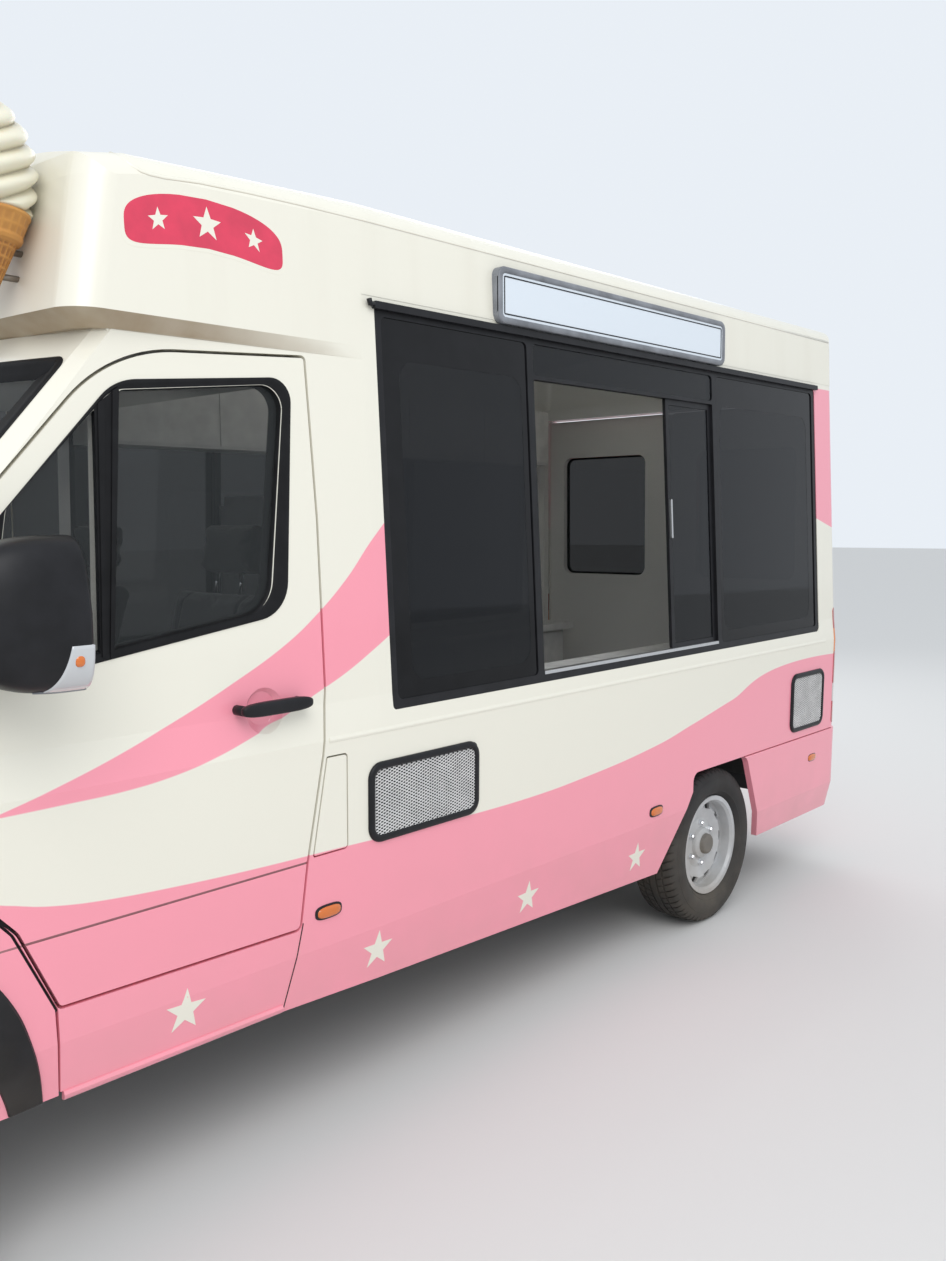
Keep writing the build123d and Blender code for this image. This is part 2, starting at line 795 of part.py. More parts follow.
# Front wings with their arch flares
wing_outline = outline(
    (
        (1383, 440, 0),
        (1391, 662, 0),
        (1489, 873, 40),
        (WING_REAR_X, 1128, 60),
        (WING_REAR_X, 1500, 0),
        (2940, 1500, 0),
        (2940, NOSE_FOOT + 4, 0),
        (2380, NOSE_FOOT + 4, 0),
        (2380, 440, 0),
    )
)
FLARE_WIDTH = 46
FLARE_REACH = 7
with BuildPart() as flare:
    add(skin(nose_form, FLARE_REACH + 8, -FLARE_REACH))
    add(skin(lower_cab_form, FLARE_REACH + 8, -FLARE_REACH))
    add(across(wing_outline), mode=Mode.INTERSECT)
    with BuildSketch(Plane.XZ.offset(-BIG)):
        with Locations((FRONT_AXLE_X, TYRE_RADIUS)):
            Circle(ARCH_RADIUS + FLARE_WIDTH)
    extrude(amount=2 * BIG, mode=Mode.INTERSECT)
    with BuildSketch(Plane.XZ.offset(-BIG)):
        with Locations((FRONT_AXLE_X, TYRE_RADIUS)):
            Circle(ARCH_RADIUS)
    extrude(amount=2 * BIG, mode=Mode.SUBTRACT)
with BuildPart() as front_wings:
    add(skin(nose_form, SKIN))
    add(skin(lower_cab_form, SKIN))
    add(across(wing_outline), mode=Mode.INTERSECT)
    add(upright(grown(bonnet_plan, 6), 600, 1600), mode=Mode.SUBTRACT)
    with Locations((2500, 0, 900)):
        Box(1800, 1100, 1400, mode=Mode.SUBTRACT)
    with Locations((2000, 0, 1000)):
        Box(600, 1680, 1400, mode=Mode.SUBTRACT)
    add(upper_cab_form(0), mode=Mode.SUBTRACT)
    for side in (1, -1):
        lamp = lamp_outline if side == 1 else mirror(lamp_outline, about=Plane.YZ)
        add(along(grown(lamp, 3), 2430, 3000), mode=Mode.SUBTRACT)
    with BuildSketch(Plane.XZ.offset(-BIG)):
        with Locations((FRONT_AXLE_X, TYRE_RADIUS)):
            Circle(ARCH_RADIUS)
    extrude(amount=2 * BIG, mode=Mode.SUBTRACT)
    add(flare.part)
front_wings.part.label = "front_wings"
export_step(front_wings.part, "parts/front_wings.step")

# Bonnet
with BuildPart() as bonnet:
    add(skin(nose_form, SKIN))
    add(upright(bonnet_plan, 960, 1600), mode=Mode.INTERSECT)
    add(cowl_line, mode=Mode.SUBTRACT)
bonnet.part.label = "bonnet"
export_step(bonnet.part, "parts/bonnet.step")

# Headlamps
with BuildPart() as headlamps:
    add(skin(nose_form, 60, 1))
    add(along(lamp_outline, 2430, 3000), mode=Mode.INTERSECT)
    add(upright(grown(bonnet_plan, 6), 600, 1600), mode=Mode.SUBTRACT)
    mirror(about=Plane.XZ)
    with BuildSketch(Plane.YZ.offset(2740)):
        with Locations((600, 430), (-600, 430)):
            Circle(46)
    extrude(amount=70)
headlamps.part.label = "headlamps"
export_step(headlamps.part, "parts/headlamps.step")

# Grille: a frame with slats
GRILLE_SLATS = 4
with BuildPart() as grille:
    add(skin(nose_form, 34, 6))
    add(along(grille_outline, 2430, 3000), mode=Mode.INTERSECT)
    add(upright(grown(bonnet_plan, 6), 930, 1600), mode=Mode.SUBTRACT)
    for slat in range(GRILLE_SLATS):
        low = 780 + slat * 42
        add(along(box_outline(-440, 440, low, low + 26), 2430, 3000), mode=Mode.SUBTRACT)
grille.part.label = "grille"
export_step(grille.part, "parts/grille.step")

# Front bumper, with a hole for the towing socket
with BuildSketch() as tow_cut:
    with Locations((-415, TOW_Z)):
        Circle(36)
tow_hole = tow_cut.sketch


def bumper_form(inset):
    """The front bumper's outside, from the arches forwards."""
    return bowed_stack(BUMPER_SECTIONS, 2384, inset, 70 - inset / 2)


INTAKES = ((322, 372), (386, 436), (450, 500))
with BuildPart() as front_bumper:
    add(skin(bumper_form, 45))
    for low_z, high_z in INTAKES:
        add(along(box_outline(-430, 430, low_z, high_z, 16), 2700, 3000), mode=Mode.SUBTRACT)
    for side in (1, -1):
        fog_y = (side * 600 - 80, side * 600 + 80)
        add(along(box_outline(*fog_y, 380, 480, 40), 2700, 3000), mode=Mode.SUBTRACT)
    with BuildSketch(Plane.XZ.offset(-BIG)):
        with Locations((FRONT_AXLE_X, TYRE_RADIUS)):
            Circle(ARCH_RADIUS)
    extrude(amount=2 * BIG, mode=Mode.SUBTRACT)
    add(along(tow_hole, 2500, 3000), mode=Mode.SUBTRACT)
front_bumper.part.label = "front_bumper"
export_step(front_bumper.part, "parts/front_bumper.step")

# Side walls, with the hatch and the vents cut
wall_outline = outline(
    ((REAR_RING_X, SKIRT_TOP, 0), (POST_X, SKIRT_TOP, 0), (POST_X, WALL_TOP, 0), (REAR_RING_X, WALL_TOP, 0))
)
for name, side in (("left", 1), ("right", -1)):
    near = (0, BIG) if side == 1 else (-BIG, 0)
    with BuildPart() as side_wall:
        add(skin(load_form, WALL))
        add(across(wall_outline, *near), mode=Mode.INTERSECT)
        add(across(hatch_outline), mode=Mode.SUBTRACT)
        for vent in (FRONT_VENT, REAR_VENT):
            add(across(box_outline(*vent, 24)), mode=Mode.SUBTRACT)
    side_wall.part.label = f"side_{name}"
    export_step(side_wall.part, f"parts/side_{name}.step")

# Roof pod
pod_outline = outline(
    (
        (BODY_REAR_X - 50, WALL_TOP, 0),
        (POST_X, WALL_TOP, 0),
        (POST_X, CAB_TOP, 0),
        (1500, CAB_TOP, 0),
        (1500, 2900, 0),
        (BODY_REAR_X - 50, 2900, 0),
    )
)
with BuildPart() as roof_pod:
    add(skin(pod_form, 40))
    add(across(pod_outline), mode=Mode.INTERSECT)
roof_pod.part.label = "roof_pod"
export_step(roof_pod.part, "parts/roof_pod.step")

# Tail lamps let into the rear corners
with BuildPart() as lamp_zone:
    add(across(box_outline(BODY_REAR_X - 60, BODY_REAR_X + 62, 745, 1345, 20)))
    with Locations((BODY_REAR_X, 0, 1000)):
        Box(400, 1760, 900, mode=Mode.SUBTRACT)
with BuildPart() as tail_lamps:
    add(skin(load_form, 42, -2))
    add(lamp_zone.part, mode=Mode.INTERSECT)
tail_lamps.part.label = "tail_lamps"
export_step(tail_lamps.part, "parts/tail_lamps.step")

# Rear frame round the two doors
rear_opening = box_outline(
    -REAR_DOOR_HALF_WIDTH - SHUT_GAP,
    REAR_DOOR_HALF_WIDTH + SHUT_GAP,
    REAR_DOOR_FOOT - SHUT_GAP,
    REAR_DOOR_HEAD + SHUT_GAP,
    30,
)
with BuildPart() as rear_flange:
    add(load_form(WALL / 2))
    add(across(box_outline(BODY_REAR_X + 62, BODY_REAR_X + 102, 722, WALL_TOP)), mode=Mode.INTERSECT)
with BuildPart() as rear_frame:
    add(skin(load_form, WALL))
    add(across(box_outline(BODY_REAR_X - 50, REAR_RING_X, 722, WALL_TOP)), mode=Mode.INTERSECT)
    add(rear_flange.part)
    add(along(rear_opening, BODY_REAR_X - 50, REAR_RING_X - 40), mode=Mode.SUBTRACT)
    add(lamp_zone.part, mode=Mode.SUBTRACT)
rear_frame.part.label = "rear_frame"
export_step(rear_frame.part, "parts/rear_frame.step")

# Side skirts below the walls
with BuildPart() as side_skirts:
    add(skin(load_form, 50))
    add(skin(lower_cab_form, 50))
    add(across(skirt_outline), mode=Mode.INTERSECT)
    with Locations((-1000, 0, 600)):
        Box(4200, 1700, 900, mode=Mode.SUBTRACT)
    add(across(box_outline(*REAR_VENT, 24)), mode=Mode.SUBTRACT)
side_skirts.part.label = "side_skirts"
export_step(side_skirts.part, "parts/side_skirts.step")

# Rear bumper
REAR_BUMPER_SECTIONS = ((300, 955), (430, 986), (718, 992))


def rear_bumper_form(inset):
    """The rear bumper's outside, from the rear arches backwards."""
    with BuildPart() as form:
        for z, half_width in REAR_BUMPER_SECTIONS:
            with BuildSketch(Plane.XY.offset(z)) as plan:
                with BuildLine():
                    Polyline(
                        (-1900, half_width - inset),
                        (TAIL_X + inset, half_width - inset),
                        (TAIL_X + inset, inset - half_width),
                        (-1900, inset - half_width),
                        close=True,
                    )
                make_face()
                fillet(plan.vertices().group_by(Axis.X)[0], 90 - inset / 2)
        loft(ruled=True)
    return form.part


with BuildPart() as rear_bumper:
    add(skin(rear_bumper_form, 28))
    add(across(grown(rear_arch_outline, 0.5)), mode=Mode.SUBTRACT)
    with Locations((-1900, 0, 600)):
        Box(300, 1700, 900, mode=Mode.SUBTRACT)
    add(along(tow_hole, -3000, -2700), mode=Mode.SUBTRACT)
rear_bumper.part.label = "rear_bumper"
export_step(rear_bumper.part, "parts/rear_bumper.step")

# Frames in the hatch openings, both sides, with the open serving hole on the left and a rail above
rail_x, rail_end_x, rail_z, rail_height, rail_reach = RAIL
with BuildPart() as rail:
    add(skin(load_form, rail_reach, -rail_reach))
    add(
        across(box_outline(rail_end_x, rail_x, rail_z - rail_height / 2, rail_z + rail_height / 2, 6)),
        mode=Mode.INTERSECT,
    )
with BuildPart() as hatch_frame:
    add(skin(load_form, 30, 3))
    add(across(hatch_outline), mode=Mode.INTERSECT)
    for pane in HATCH_PANES:
        add(across(box_outline(*pane, 20)), mode=Mode.SUBTRACT)
    add(across(box_outline(*SERVING_HOLE, 6)), mode=Mode.SUBTRACT)
    add(rail.part)
hatch_frame.part.label = "hatch_frame"
export_step(hatch_frame.part, "parts/hatch_frame.step")

# Glass: the fixed panes on both sides, and the sash of the serving hole, slid back and fixed
SASH_BAR = 24
with BuildPart() as pane_blocks:
    for pane in HATCH_PANES:
        add(across(box_outline(*pane, 20)))
    add(across(box_outline(*SERVING_HOLE, 6), -BIG, 0))
sash_hole = grown(box_outline(*SASH, 6), -SASH_BAR)
with BuildPart() as sash_pane:
    add(skin(load_form, GLASS, 19))
    add(across(sash_hole, 0, BIG), mode=Mode.INTERSECT)
with BuildPart() as hatch_glass:
    add(skin(load_form, GLASS, 8))
    add(pane_blocks.part, mode=Mode.INTERSECT)
    add(sash_pane.part)
hatch_glass.part.label = "hatch_glass"
export_step(hatch_glass.part, "parts/hatch_glass.step")

# Bars round the sliding sash
with BuildPart() as hatch_sash:
    add(skin(load_form, 14, 15))
    add(across(box_outline(*SASH, 6), 0, BIG), mode=Mode.INTERSECT)
    add(across(sash_hole), mode=Mode.SUBTRACT)
hatch_sash.part.label = "hatch_sash"
export_step(hatch_sash.part, "parts/hatch_sash.step")

# Vents in the side walls: a raised rim with a mesh panel set back in it
VENT_RIM = 16
VENT_SET_BACK = 6
with BuildPart() as vent_blocks:
    for vent in (FRONT_VENT, REAR_VENT):
        add(across(box_outline(*vent, 24)))
with BuildPart() as vent_middles:
    for low_x, high_x, low_z, high_z in (FRONT_VENT, REAR_VENT):
        add(across(box_outline(low_x + VENT_RIM, high_x - VENT_RIM, low_z + VENT_RIM, high_z - VENT_RIM, 14)))
with BuildPart() as vent_faces:
    add(skin(load_form, VENT_SET_BACK + 4, -4))
    add(vent_middles.part, mode=Mode.INTERSECT)
with BuildPart() as vents:
    add(skin(load_form, 26, -4))
    add(vent_blocks.part, mode=Mode.INTERSECT)
    add(vent_faces.part, mode=Mode.SUBTRACT)
vents.part.label = "vents"
export_step(vents.part, "parts/vents.step")

# Sign panels on the pod, both sides
SIGN = (-1755, -252, 2464, 2650)
with BuildPart() as sign_panels:
    add(across(box_outline(*SIGN, 34), 900, 956))
    add(pod_form(0), mode=Mode.SUBTRACT)
    mirror(about=Plane.XZ)
sign_panels.part.label = "sign_panels"
export_step(sign_panels.part, "parts/sign_panels.step")

# Cone wafers with their brackets to the pod
POD_FACE_X = 1236
with BuildPart() as cone_wafers:
    for side in (1, -1):
        cone_plane = Plane(origin=(CONE_X, side * CONE_Y, 0), x_dir=(1, 0, 0), z_dir=(0, -1, 0))
        with BuildSketch(cone_plane):
            with BuildLine():
                Polyline(
                    (0, WAFER_FOOT),
                    (26, WAFER_FOOT),
                    (106, WAFER_TOP - 70),
                    (116, WAFER_TOP - 66),
                    (138, WAFER_TOP),
                    (0, WAFER_TOP),
                    close=True,
                )
            make_face()
        revolve(axis=Axis((CONE_X, side * CONE_Y, 0), (0, 0, 1)))
        for bolt_z in (2425, 2485):
            bolt_plane = Plane(origin=(CONE_X, side * CONE_Y, bolt_z), x_dir=(0, 1, 0), z_dir=(-1, 0, 0))
            with BuildSketch(bolt_plane):
                Circle(8)
            extrude(amount=CONE_X - POD_FACE_X + 20)
    add(pod_form(0), mode=Mode.SUBTRACT)
cone_wafers.part.label = "cone_wafers"
export_step(cone_wafers.part, "parts/cone_wafers.step")

# Cone swirls: stacked plans of rounded flutes, each turned further than the one below
SWIRL_HEIGHT = SWIRL_PLANS[-1][0]
with BuildPart() as cone_swirls:
    for side in (1, -1):
        for height, radius in SWIRL_PLANS:
            turn = FLUTE_RISE_TURN * height / SWIRL_HEIGHT
            plan_plane = Plane(origin=(CONE_X, side * CONE_Y, WAFER_TOP + height)).rotated((0, 0, turn))
            with BuildSketch(plan_plane):
                with BuildLine():
                    for flute in range(FLUTES):
                        start, middle, end = ((flute + part) * 360 / FLUTES for part in (0, 0.5, 1))
                        valley = radius * (1 - FLUTE_DEPTH)
                        ThreePointArc(
                            (valley * cos(radians(start)), valley * sin(radians(start))),
                            (radius * cos(radians(middle)), radius * sin(radians(middle))),
                            (valley * cos(radians(end)), valley * sin(radians(end))),
                        )
                make_face()
        loft(ruled=True)
cone_swirls.part.label = "cone_swirls"
export_step(cone_swirls.part, "parts/cone_swirls.step")

# Counters: cabinets with doors under both hatches, worktops, and lockers above the right-hand window
COUNTER_BOXES = (
    # low x, high x, low z, high z, low y, high y
    (-2600, 240, LOAD_FLOOR, 1170, 560, 905),
    (-2650, 270, 1170, 1206, 520, 925),
)
LOCKER = (-2640, 280, 2130, 2440, 700, 888)
LOCKER_DOORS = 5
CABINET_DOORS = 6
with BuildPart() as counters:
    for side in (1, -1):
        for low_x, high_x, low_z, high_z, low_y, high_y in COUNTER_BOXES:
            with Locations(((low_x + high_x) / 2, side * (low_y + high_y) / 2, (low_z + high_z) / 2)):
                Box(high_x - low_x, high_y - low_y, high_z - low_z)
        with Locations(((WHEEL_BOX[0] + WHEEL_BOX[1]) / 2, side * 797, 680)):
            Box(WHEEL_BOX[1] - WHEEL_BOX[0], 216, 180, mode=Mode.SUBTRACT)
        low_x, high_x = COUNTER_BOXES[0][:2]
        door_width = (high_x - low_x) / CABINET_DOORS
        for door in range(CABINET_DOORS):
            with Locations((low_x + (door + 0.5) * door_width, side * 559, 915)):
                Box(door_width - 14, 6, 480)
    low_x, high_x, low_z, high_z, low_y, high_y = LOCKER
    with Locations(((low_x + high_x) / 2, -(low_y + high_y) / 2, (low_z + high_z) / 2)):
        Box(high_x - low_x, high_y - low_y, high_z - low_z)
    door_width = (high_x - low_x) / LOCKER_DOORS
    for door in range(LOCKER_DOORS):
        with Locations((low_x + (door + 0.5) * door_width, -low_y + 3, (low_z + high_z) / 2)):
            Box(door_width - 12, 6, high_z - low_z - 24)
    with Locations(((low_x + high_x) / 2, -(high_y + 3), (low_z + high_z) / 2)):
        Box(high_x - low_x, 6, 60)
counters.part.label = "counters"
export_step(counters.part, "parts/counters.step")

# Soft-serve machine on the right-hand counter: body, hopper lid, two taps with levers and a drip tray
MACHINE_X = -650
with BuildPart() as soft_serve_machine:
    with Locations((MACHINE_X, -735, 1206 + 340)):
        Box(430, 350, 680)
    fillet(soft_serve_machine.edges().filter_by(Axis.Z), 20)
    with Locations((MACHINE_X, -735, 1206 + 700)):
        Box(390, 310, 44)
    with Locations((MACHINE_X, -500, 1232)):
        Box(330, 130, 30)
    with Locations((MACHINE_X, -500, 1240)):
        Box(306, 106, 20, mode=Mode.SUBTRACT)
    for tap_x in (MACHINE_X - 90, MACHINE_X + 90):
        with Locations((tap_x, -528, 1540)):
            Box(90, 70, 150)
        with BuildSketch(Plane.XY.offset(1420)):
            with Locations((tap_x, -520)):
                Circle(20)
        extrude(amount=60)
        with Locations((tap_x, -476, 1620)):
            Box(18, 60, 16)
        with Locations((tap_x, -450, 1580)):
            Box(22, 16, 100)
soft_serve_machine.part.label = "soft_serve_machine"
export_step(soft_serve_machine.part, "parts/soft_serve_machine.step")

# Dashboard: moulding with a hood over the dials, vents, a glovebox and a centre stack
DASH_PROFILE = (
    (1985, 1275, 0),
    (1600, 1325, 60),
    (1452, 1290, 40),
    (1408, 1180, 40),
    (1470, 1000, 30),
    (1530, 900, 0),
    (1700, 1030, 0),
)
DASH_HALF_WIDTH = 840
DASH_STACK = (
    (1452, 700, 0),
    (1400, 900, 40),
    (1395, 1200, 0),
    (1560, 1200, 0),
    (1560, 912, 0),
    (1486, 860, 0),
)
DIAL_HOOD = ((1440, 1300, 0), (1440, 1372, 30), (1500, 1392, 30), (1680, 1318, 0))
with BuildPart() as dashboard:
    add(across(outline(DASH_PROFILE), -DASH_HALF_WIDTH, DASH_HALF_WIDTH))
    add(across(outline(DIAL_HOOD), -570, -230))
    add(across(box_outline(1425, 1490, 1312, 1350), -540, -260), mode=Mode.SUBTRACT)
    add(across(outline(DASH_STACK), -150, 150))
    for vent_y in (-700, -75, 75, 700):
        with Locations((1420, vent_y, 1262)):
            Box(60, 110, 60, mode=Mode.SUBTRACT)
dashboard.part.label = "dashboard"
export_step(dashboard.part, "parts/dashboard.step")

# Steering wheel on the right: rim, spokes, boss and column
WHEEL_CENTRE = Vector(1290, -400, 1330)
COLUMN_TILT = 28
column = Vector(cos(radians(COLUMN_TILT)), 0, -sin(radians(COLUMN_TILT)))
wheel_plane = Plane(origin=WHEEL_CENTRE, x_dir=(0, 1, 0), z_dir=column)
with BuildPart() as steering_wheel:
    with BuildSketch(Plane(origin=WHEEL_CENTRE, x_dir=(0, 1, 0), z_dir=wheel_plane.y_dir)):
        with Locations((195, 0)):
            Circle(15)
    revolve(axis=Axis(WHEEL_CENTRE, column))
    with BuildSketch(wheel_plane):
        Circle(62)
        with PolarLocations(100, 3, start_angle=90):
            Rectangle(180, 40)
    extrude(amount=22)
    with BuildSketch(wheel_plane):
        Circle(26)
    extrude(amount=96)
steering_wheel.part.label = "steering_wheel"
export_step(steering_wheel.part, "parts/steering_wheel.step")

# Seats: bases, headrest rods, then the padded cushions, backs and headrests
SEAT_Y = (430, -430)
# Side view of the padding: cushion, back and headrest
CUSHION = ((1102, 900, 30), (1092, 1008, 50), (620, 1020, 0), (600, 895, 0))
BACK = ((700, 1024, 30), (590, 1024, 20), (438, 1590, 38), (530, 1616, 38))
HEADREST = ((506, 1652, 28), (424, 1634, 28), (398, 1800, 34), (478, 1818, 34))
with BuildPart() as seat_bases:
    for seat_y in SEAT_Y:
        with Locations((820, seat_y, 755)):
            Box(420, 420, 270)
        with Locations((840, seat_y, 892)):
            Box(460, 450, 6)
        for rod_y in (seat_y - 65, seat_y + 65):
            with BuildSketch(Plane.XY.offset(1590)):
                with Locations((474, rod_y)):
                    Circle(7)
            extrude(amount=60)
seat_bases.part.label = "seat_bases"
export_step(seat_bases.part, "parts/seat_bases.step")

with BuildPart() as seat_pads:
    for seat_y in SEAT_Y:
        for side_view, half_width in ((CUSHION, 245), (BACK, 235), (HEADREST, 130)):
            add(across(outline(side_view), seat_y - half_width, seat_y + half_width))
    add(seat_bases.part, mode=Mode.SUBTRACT)
seat_pads.part.label = "seat_pads"
export_step(seat_pads.part, "parts/seat_pads.step")

# Cab doors: leaf with a cup behind the handle, glass, and fittings with the mirror and the handle
cab_grooves = grooves()
HANDLE_X = (620, 872)
HANDLE_Z = 1311
# Mirror head as upright slices: x, low y, high y, low z, high z, corner radius
MIRROR_SLICES = (
    (1385, 1000, 1206, 1452, 1780, 48),
    (1450, 996, 1214, 1446, 1790, 52),
    (1540, 1004, 1210, 1450, 1786, 56),
    (1606, 1040, 1176, 1492, 1745, 50),
)
# Recess for the mirror glass: width, height, corner radius
MIRROR_RECESS = (172, 292, 34)
# Mirror arms: height at the door, height at the head
MIRROR_ARMS = ((1470, 1472), (1600, 1600))
MIRROR_DOOR_X = 1585
MIRROR_HEAD_X = 1530
DOOR_FACE_Y = 938
for name, side in (("left", 1), ("right", -1)):
    near = (0, BIG) if side == 1 else (-BIG, 0)
    with BuildPart() as handle_cup:
        for half_width, radius in CUP_ROUNDS:
            with BuildSketch(Plane.XZ.offset(-side * half_width)):
                with Locations((CUP_X, CUP_Z)):
                    Circle(radius)
        loft(ruled=True)
    with BuildPart() as door_leaf:
        add(skin(upper_cab_form, DOOR_WALL))
        add(skin(lower_cab_form, DOOR_WALL))
        add(across(door_leaf_outline, *near), mode=Mode.INTERSECT)
        add(across(window_outline), mode=Mode.SUBTRACT)
        add(across(quarter_outline), mode=Mode.SUBTRACT)
        add(cab_grooves, mode=Mode.SUBTRACT)
        add(handle_cup.part, mode=Mode.SUBTRACT)
    door_leaf.part.label = f"door_{name}"
    export_step(door_leaf.part, f"parts/door_{name}.step")

    with BuildPart() as glass_blocks:
        add(across(window_outline, *near))
        add(across(quarter_outline, *near))
    with BuildPart() as door_glass:
        add(skin(upper_cab_form, GLASS, GLASS_INSET))
        add(glass_blocks.part, mode=Mode.INTERSECT)
    door_glass.part.label = f"door_{name}_glass"
    export_step(door_glass.part, f"parts/door_{name}_glass.step")

    with BuildPart() as door_fittings:
        for x, low_y, high_y, low_z, high_z, radius in MIRROR_SLICES:
            with BuildSketch(Plane.YZ.offset(x)):
                with Locations((side * (low_y + high_y) / 2, (low_z + high_z) / 2)):
                    RectangleRounded(high_y - low_y, high_z - low_z, radius)
        loft(ruled=True)
        with BuildSketch(Plane.YZ.offset(MIRROR_SLICES[0][0] - 20)):
            with Locations((side * 1103, 1616)):
                RectangleRounded(*MIRROR_RECESS)
        extrude(amount=40, mode=Mode.SUBTRACT)
        for door_z, head_z in MIRROR_ARMS:
            with BuildSketch(Plane.XZ.offset(-side * DOOR_FACE_Y)):
                with Locations((MIRROR_DOOR_X, door_z)):
                    Rectangle(56, 44)
            with BuildSketch(Plane.XZ.offset(-side * 1030)):
                with Locations((MIRROR_HEAD_X, head_z)):
                    Rectangle(50, 36)
            loft(ruled=True)
        with BuildSketch(Plane.XZ.offset(-side * DOOR_FACE_Y)):
            with Locations((MIRROR_DOOR_X, 1535)):
                RectangleRounded(76, 200, 20)
        extrude(amount=-side * 14)
        with BuildSketch(Plane.XZ.offset(-side * 1008)):
            with Locations((sum(HANDLE_X) / 2, HANDLE_Z)):
                SlotOverall(HANDLE_X[1] - HANDLE_X[0], 32)
        extrude(amount=-side * 22)
        for foot_x in (HANDLE_X[0] + 20, HANDLE_X[1] - 20):
            with BuildSketch(Plane.XZ.offset(-side * 978)):
                with Locations((foot_x, HANDLE_Z)):
                    Circle(13)
            extrude(amount=-side * 34)
    door_fittings.part.label = f"door_{name}_fittings"
    export_step(door_fittings.part, f"parts/door_{name}_fittings.step")

# Rear doors: leaf with a pressed lower panel and strap hinges, and their glass
REAR_GLASS = (170, 760, 1480, 2180)
REAR_PANEL = (120, 760, 800, 1360)
HINGE_Z = (900, 1420, 2250)
for name, side in (("left", 1), ("right", -1)):
    low_y, high_y = (4, REAR_DOOR_HALF_WIDTH) if side == 1 else (-REAR_DOOR_HALF_WIDTH, -4)
    glass_y = (REAR_GLASS[0], REAR_GLASS[1]) if side == 1 else (-REAR_GLASS[1], -REAR_GLASS[0])
    panel_y = (REAR_PANEL[0], REAR_PANEL[1]) if side == 1 else (-REAR_PANEL[1], -REAR_PANEL[0])
    with BuildPart() as rear_door:
        with BuildSketch(Plane.YZ.offset(BODY_REAR_X)):
            add(box_outline(low_y, high_y, REAR_DOOR_FOOT, REAR_DOOR_HEAD, 22))
            add(box_outline(*glass_y, REAR_GLASS[2], REAR_GLASS[3], 50), mode=Mode.SUBTRACT)
        extrude(amount=REAR_DOOR_WALL)
        with BuildSketch(Plane.YZ.offset(BODY_REAR_X)):
            add(box_outline(*panel_y, REAR_PANEL[2], REAR_PANEL[3], 40))
        extrude(amount=8, mode=Mode.SUBTRACT)
        for hinge_z in HINGE_Z:
            with Locations((BODY_REAR_X - 6, side * 808, hinge_z)):
                Box(12, 104, 46)
        if side == 1:
            with Locations((BODY_REAR_X - 10, 70, 1230)):
                Box(20, 60, 170)
    rear_door.part.label = f"rear_door_{name}"
    export_step(rear_door.part, f"parts/rear_door_{name}.step")

    with BuildPart() as rear_glass:
        with BuildSketch(Plane.YZ.offset(BODY_REAR_X + 8)):
            add(box_outline(*glass_y, REAR_GLASS[2], REAR_GLASS[3], 50))
        extrude(amount=GLASS)
    rear_glass.part.label = f"rear_door_{name}_glass"
    export_step(rear_glass.part, f"parts/rear_door_{name}_glass.step")

# Fuel flap on the left post
with BuildPart() as fuel_flap:
    add(skin(lower_cab_form, 16))
    add(across(grown(flap_outline, -5), 0, BIG), mode=Mode.INTERSECT)
fuel_flap.part.label = "fuel_flap"
export_step(fuel_flap.part, "parts/fuel_flap.step")
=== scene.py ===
"""Looks of the ice cream van: livery, rubber, glass, tyres, seats, cones and small trim, round the CAD frame.

Metres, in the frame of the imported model: +X forward, +Y the van's left, +Z up, the origin on the ground.
"""

from math import cos, pi, radians, sin, tan, tau

import bmesh
import bpy
import numpy as np
from mathutils import Matrix, Vector


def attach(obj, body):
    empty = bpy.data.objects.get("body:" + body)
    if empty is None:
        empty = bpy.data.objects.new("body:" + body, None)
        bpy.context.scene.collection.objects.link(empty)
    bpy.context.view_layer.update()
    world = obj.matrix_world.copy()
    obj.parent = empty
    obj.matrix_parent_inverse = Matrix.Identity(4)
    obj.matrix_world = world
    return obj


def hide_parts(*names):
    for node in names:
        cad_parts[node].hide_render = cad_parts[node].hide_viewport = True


bl_info = {
    "name": "Ice Cream Van Looks",
    "version": (1, 0, 0),
    "blender": (4, 5, 0),
    "location": "View3D > Sidebar > Van",
    "description": "Paint, rubber, glass, tyres, seats and cones for the ice cream van's frame",
    "category": "Object",
}

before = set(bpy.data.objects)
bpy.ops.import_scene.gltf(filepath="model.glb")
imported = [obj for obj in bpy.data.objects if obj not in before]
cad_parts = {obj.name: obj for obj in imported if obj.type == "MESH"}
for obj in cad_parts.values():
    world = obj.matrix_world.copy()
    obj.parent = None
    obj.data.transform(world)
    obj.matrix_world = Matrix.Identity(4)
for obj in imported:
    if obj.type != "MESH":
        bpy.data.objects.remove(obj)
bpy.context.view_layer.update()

# Places on the body that the new pieces follow
POST_X = 0.340
WING_REAR_X = 1.708
FRONT_AXLE_X = 1.9485
REAR_AXLE_X = -1.7165
HALF_TRACK = 0.850
TYRE_RADIUS = 0.348
# Points nearer than this are merged
DOUBLED = 0.00001
# Left and right of the van, and its wheels: name, x, side
BOTH = (1, -1)
SIDES = ((1, "left"), (-1, "right"))
WHEELS = (("front_left", FRONT_AXLE_X, 1), ("front_right", FRONT_AXLE_X, -1),
          ("rear_left", REAR_AXLE_X, 1), ("rear_right", REAR_AXLE_X, -1))

# Body section: height, half width at the post, half width at the front of the door
SIDE_Z = (0.330, 0.575, 1.185, 1.290, 2.285, 2.475)
POST_Y = (0.950, 0.985, 0.9965, 0.9855, 0.9405, 0.932)
DOOR_Z = (0.330, 0.575, 1.185, 1.290)
DOOR_Y = (0.925, 0.955, 0.966, 0.937)
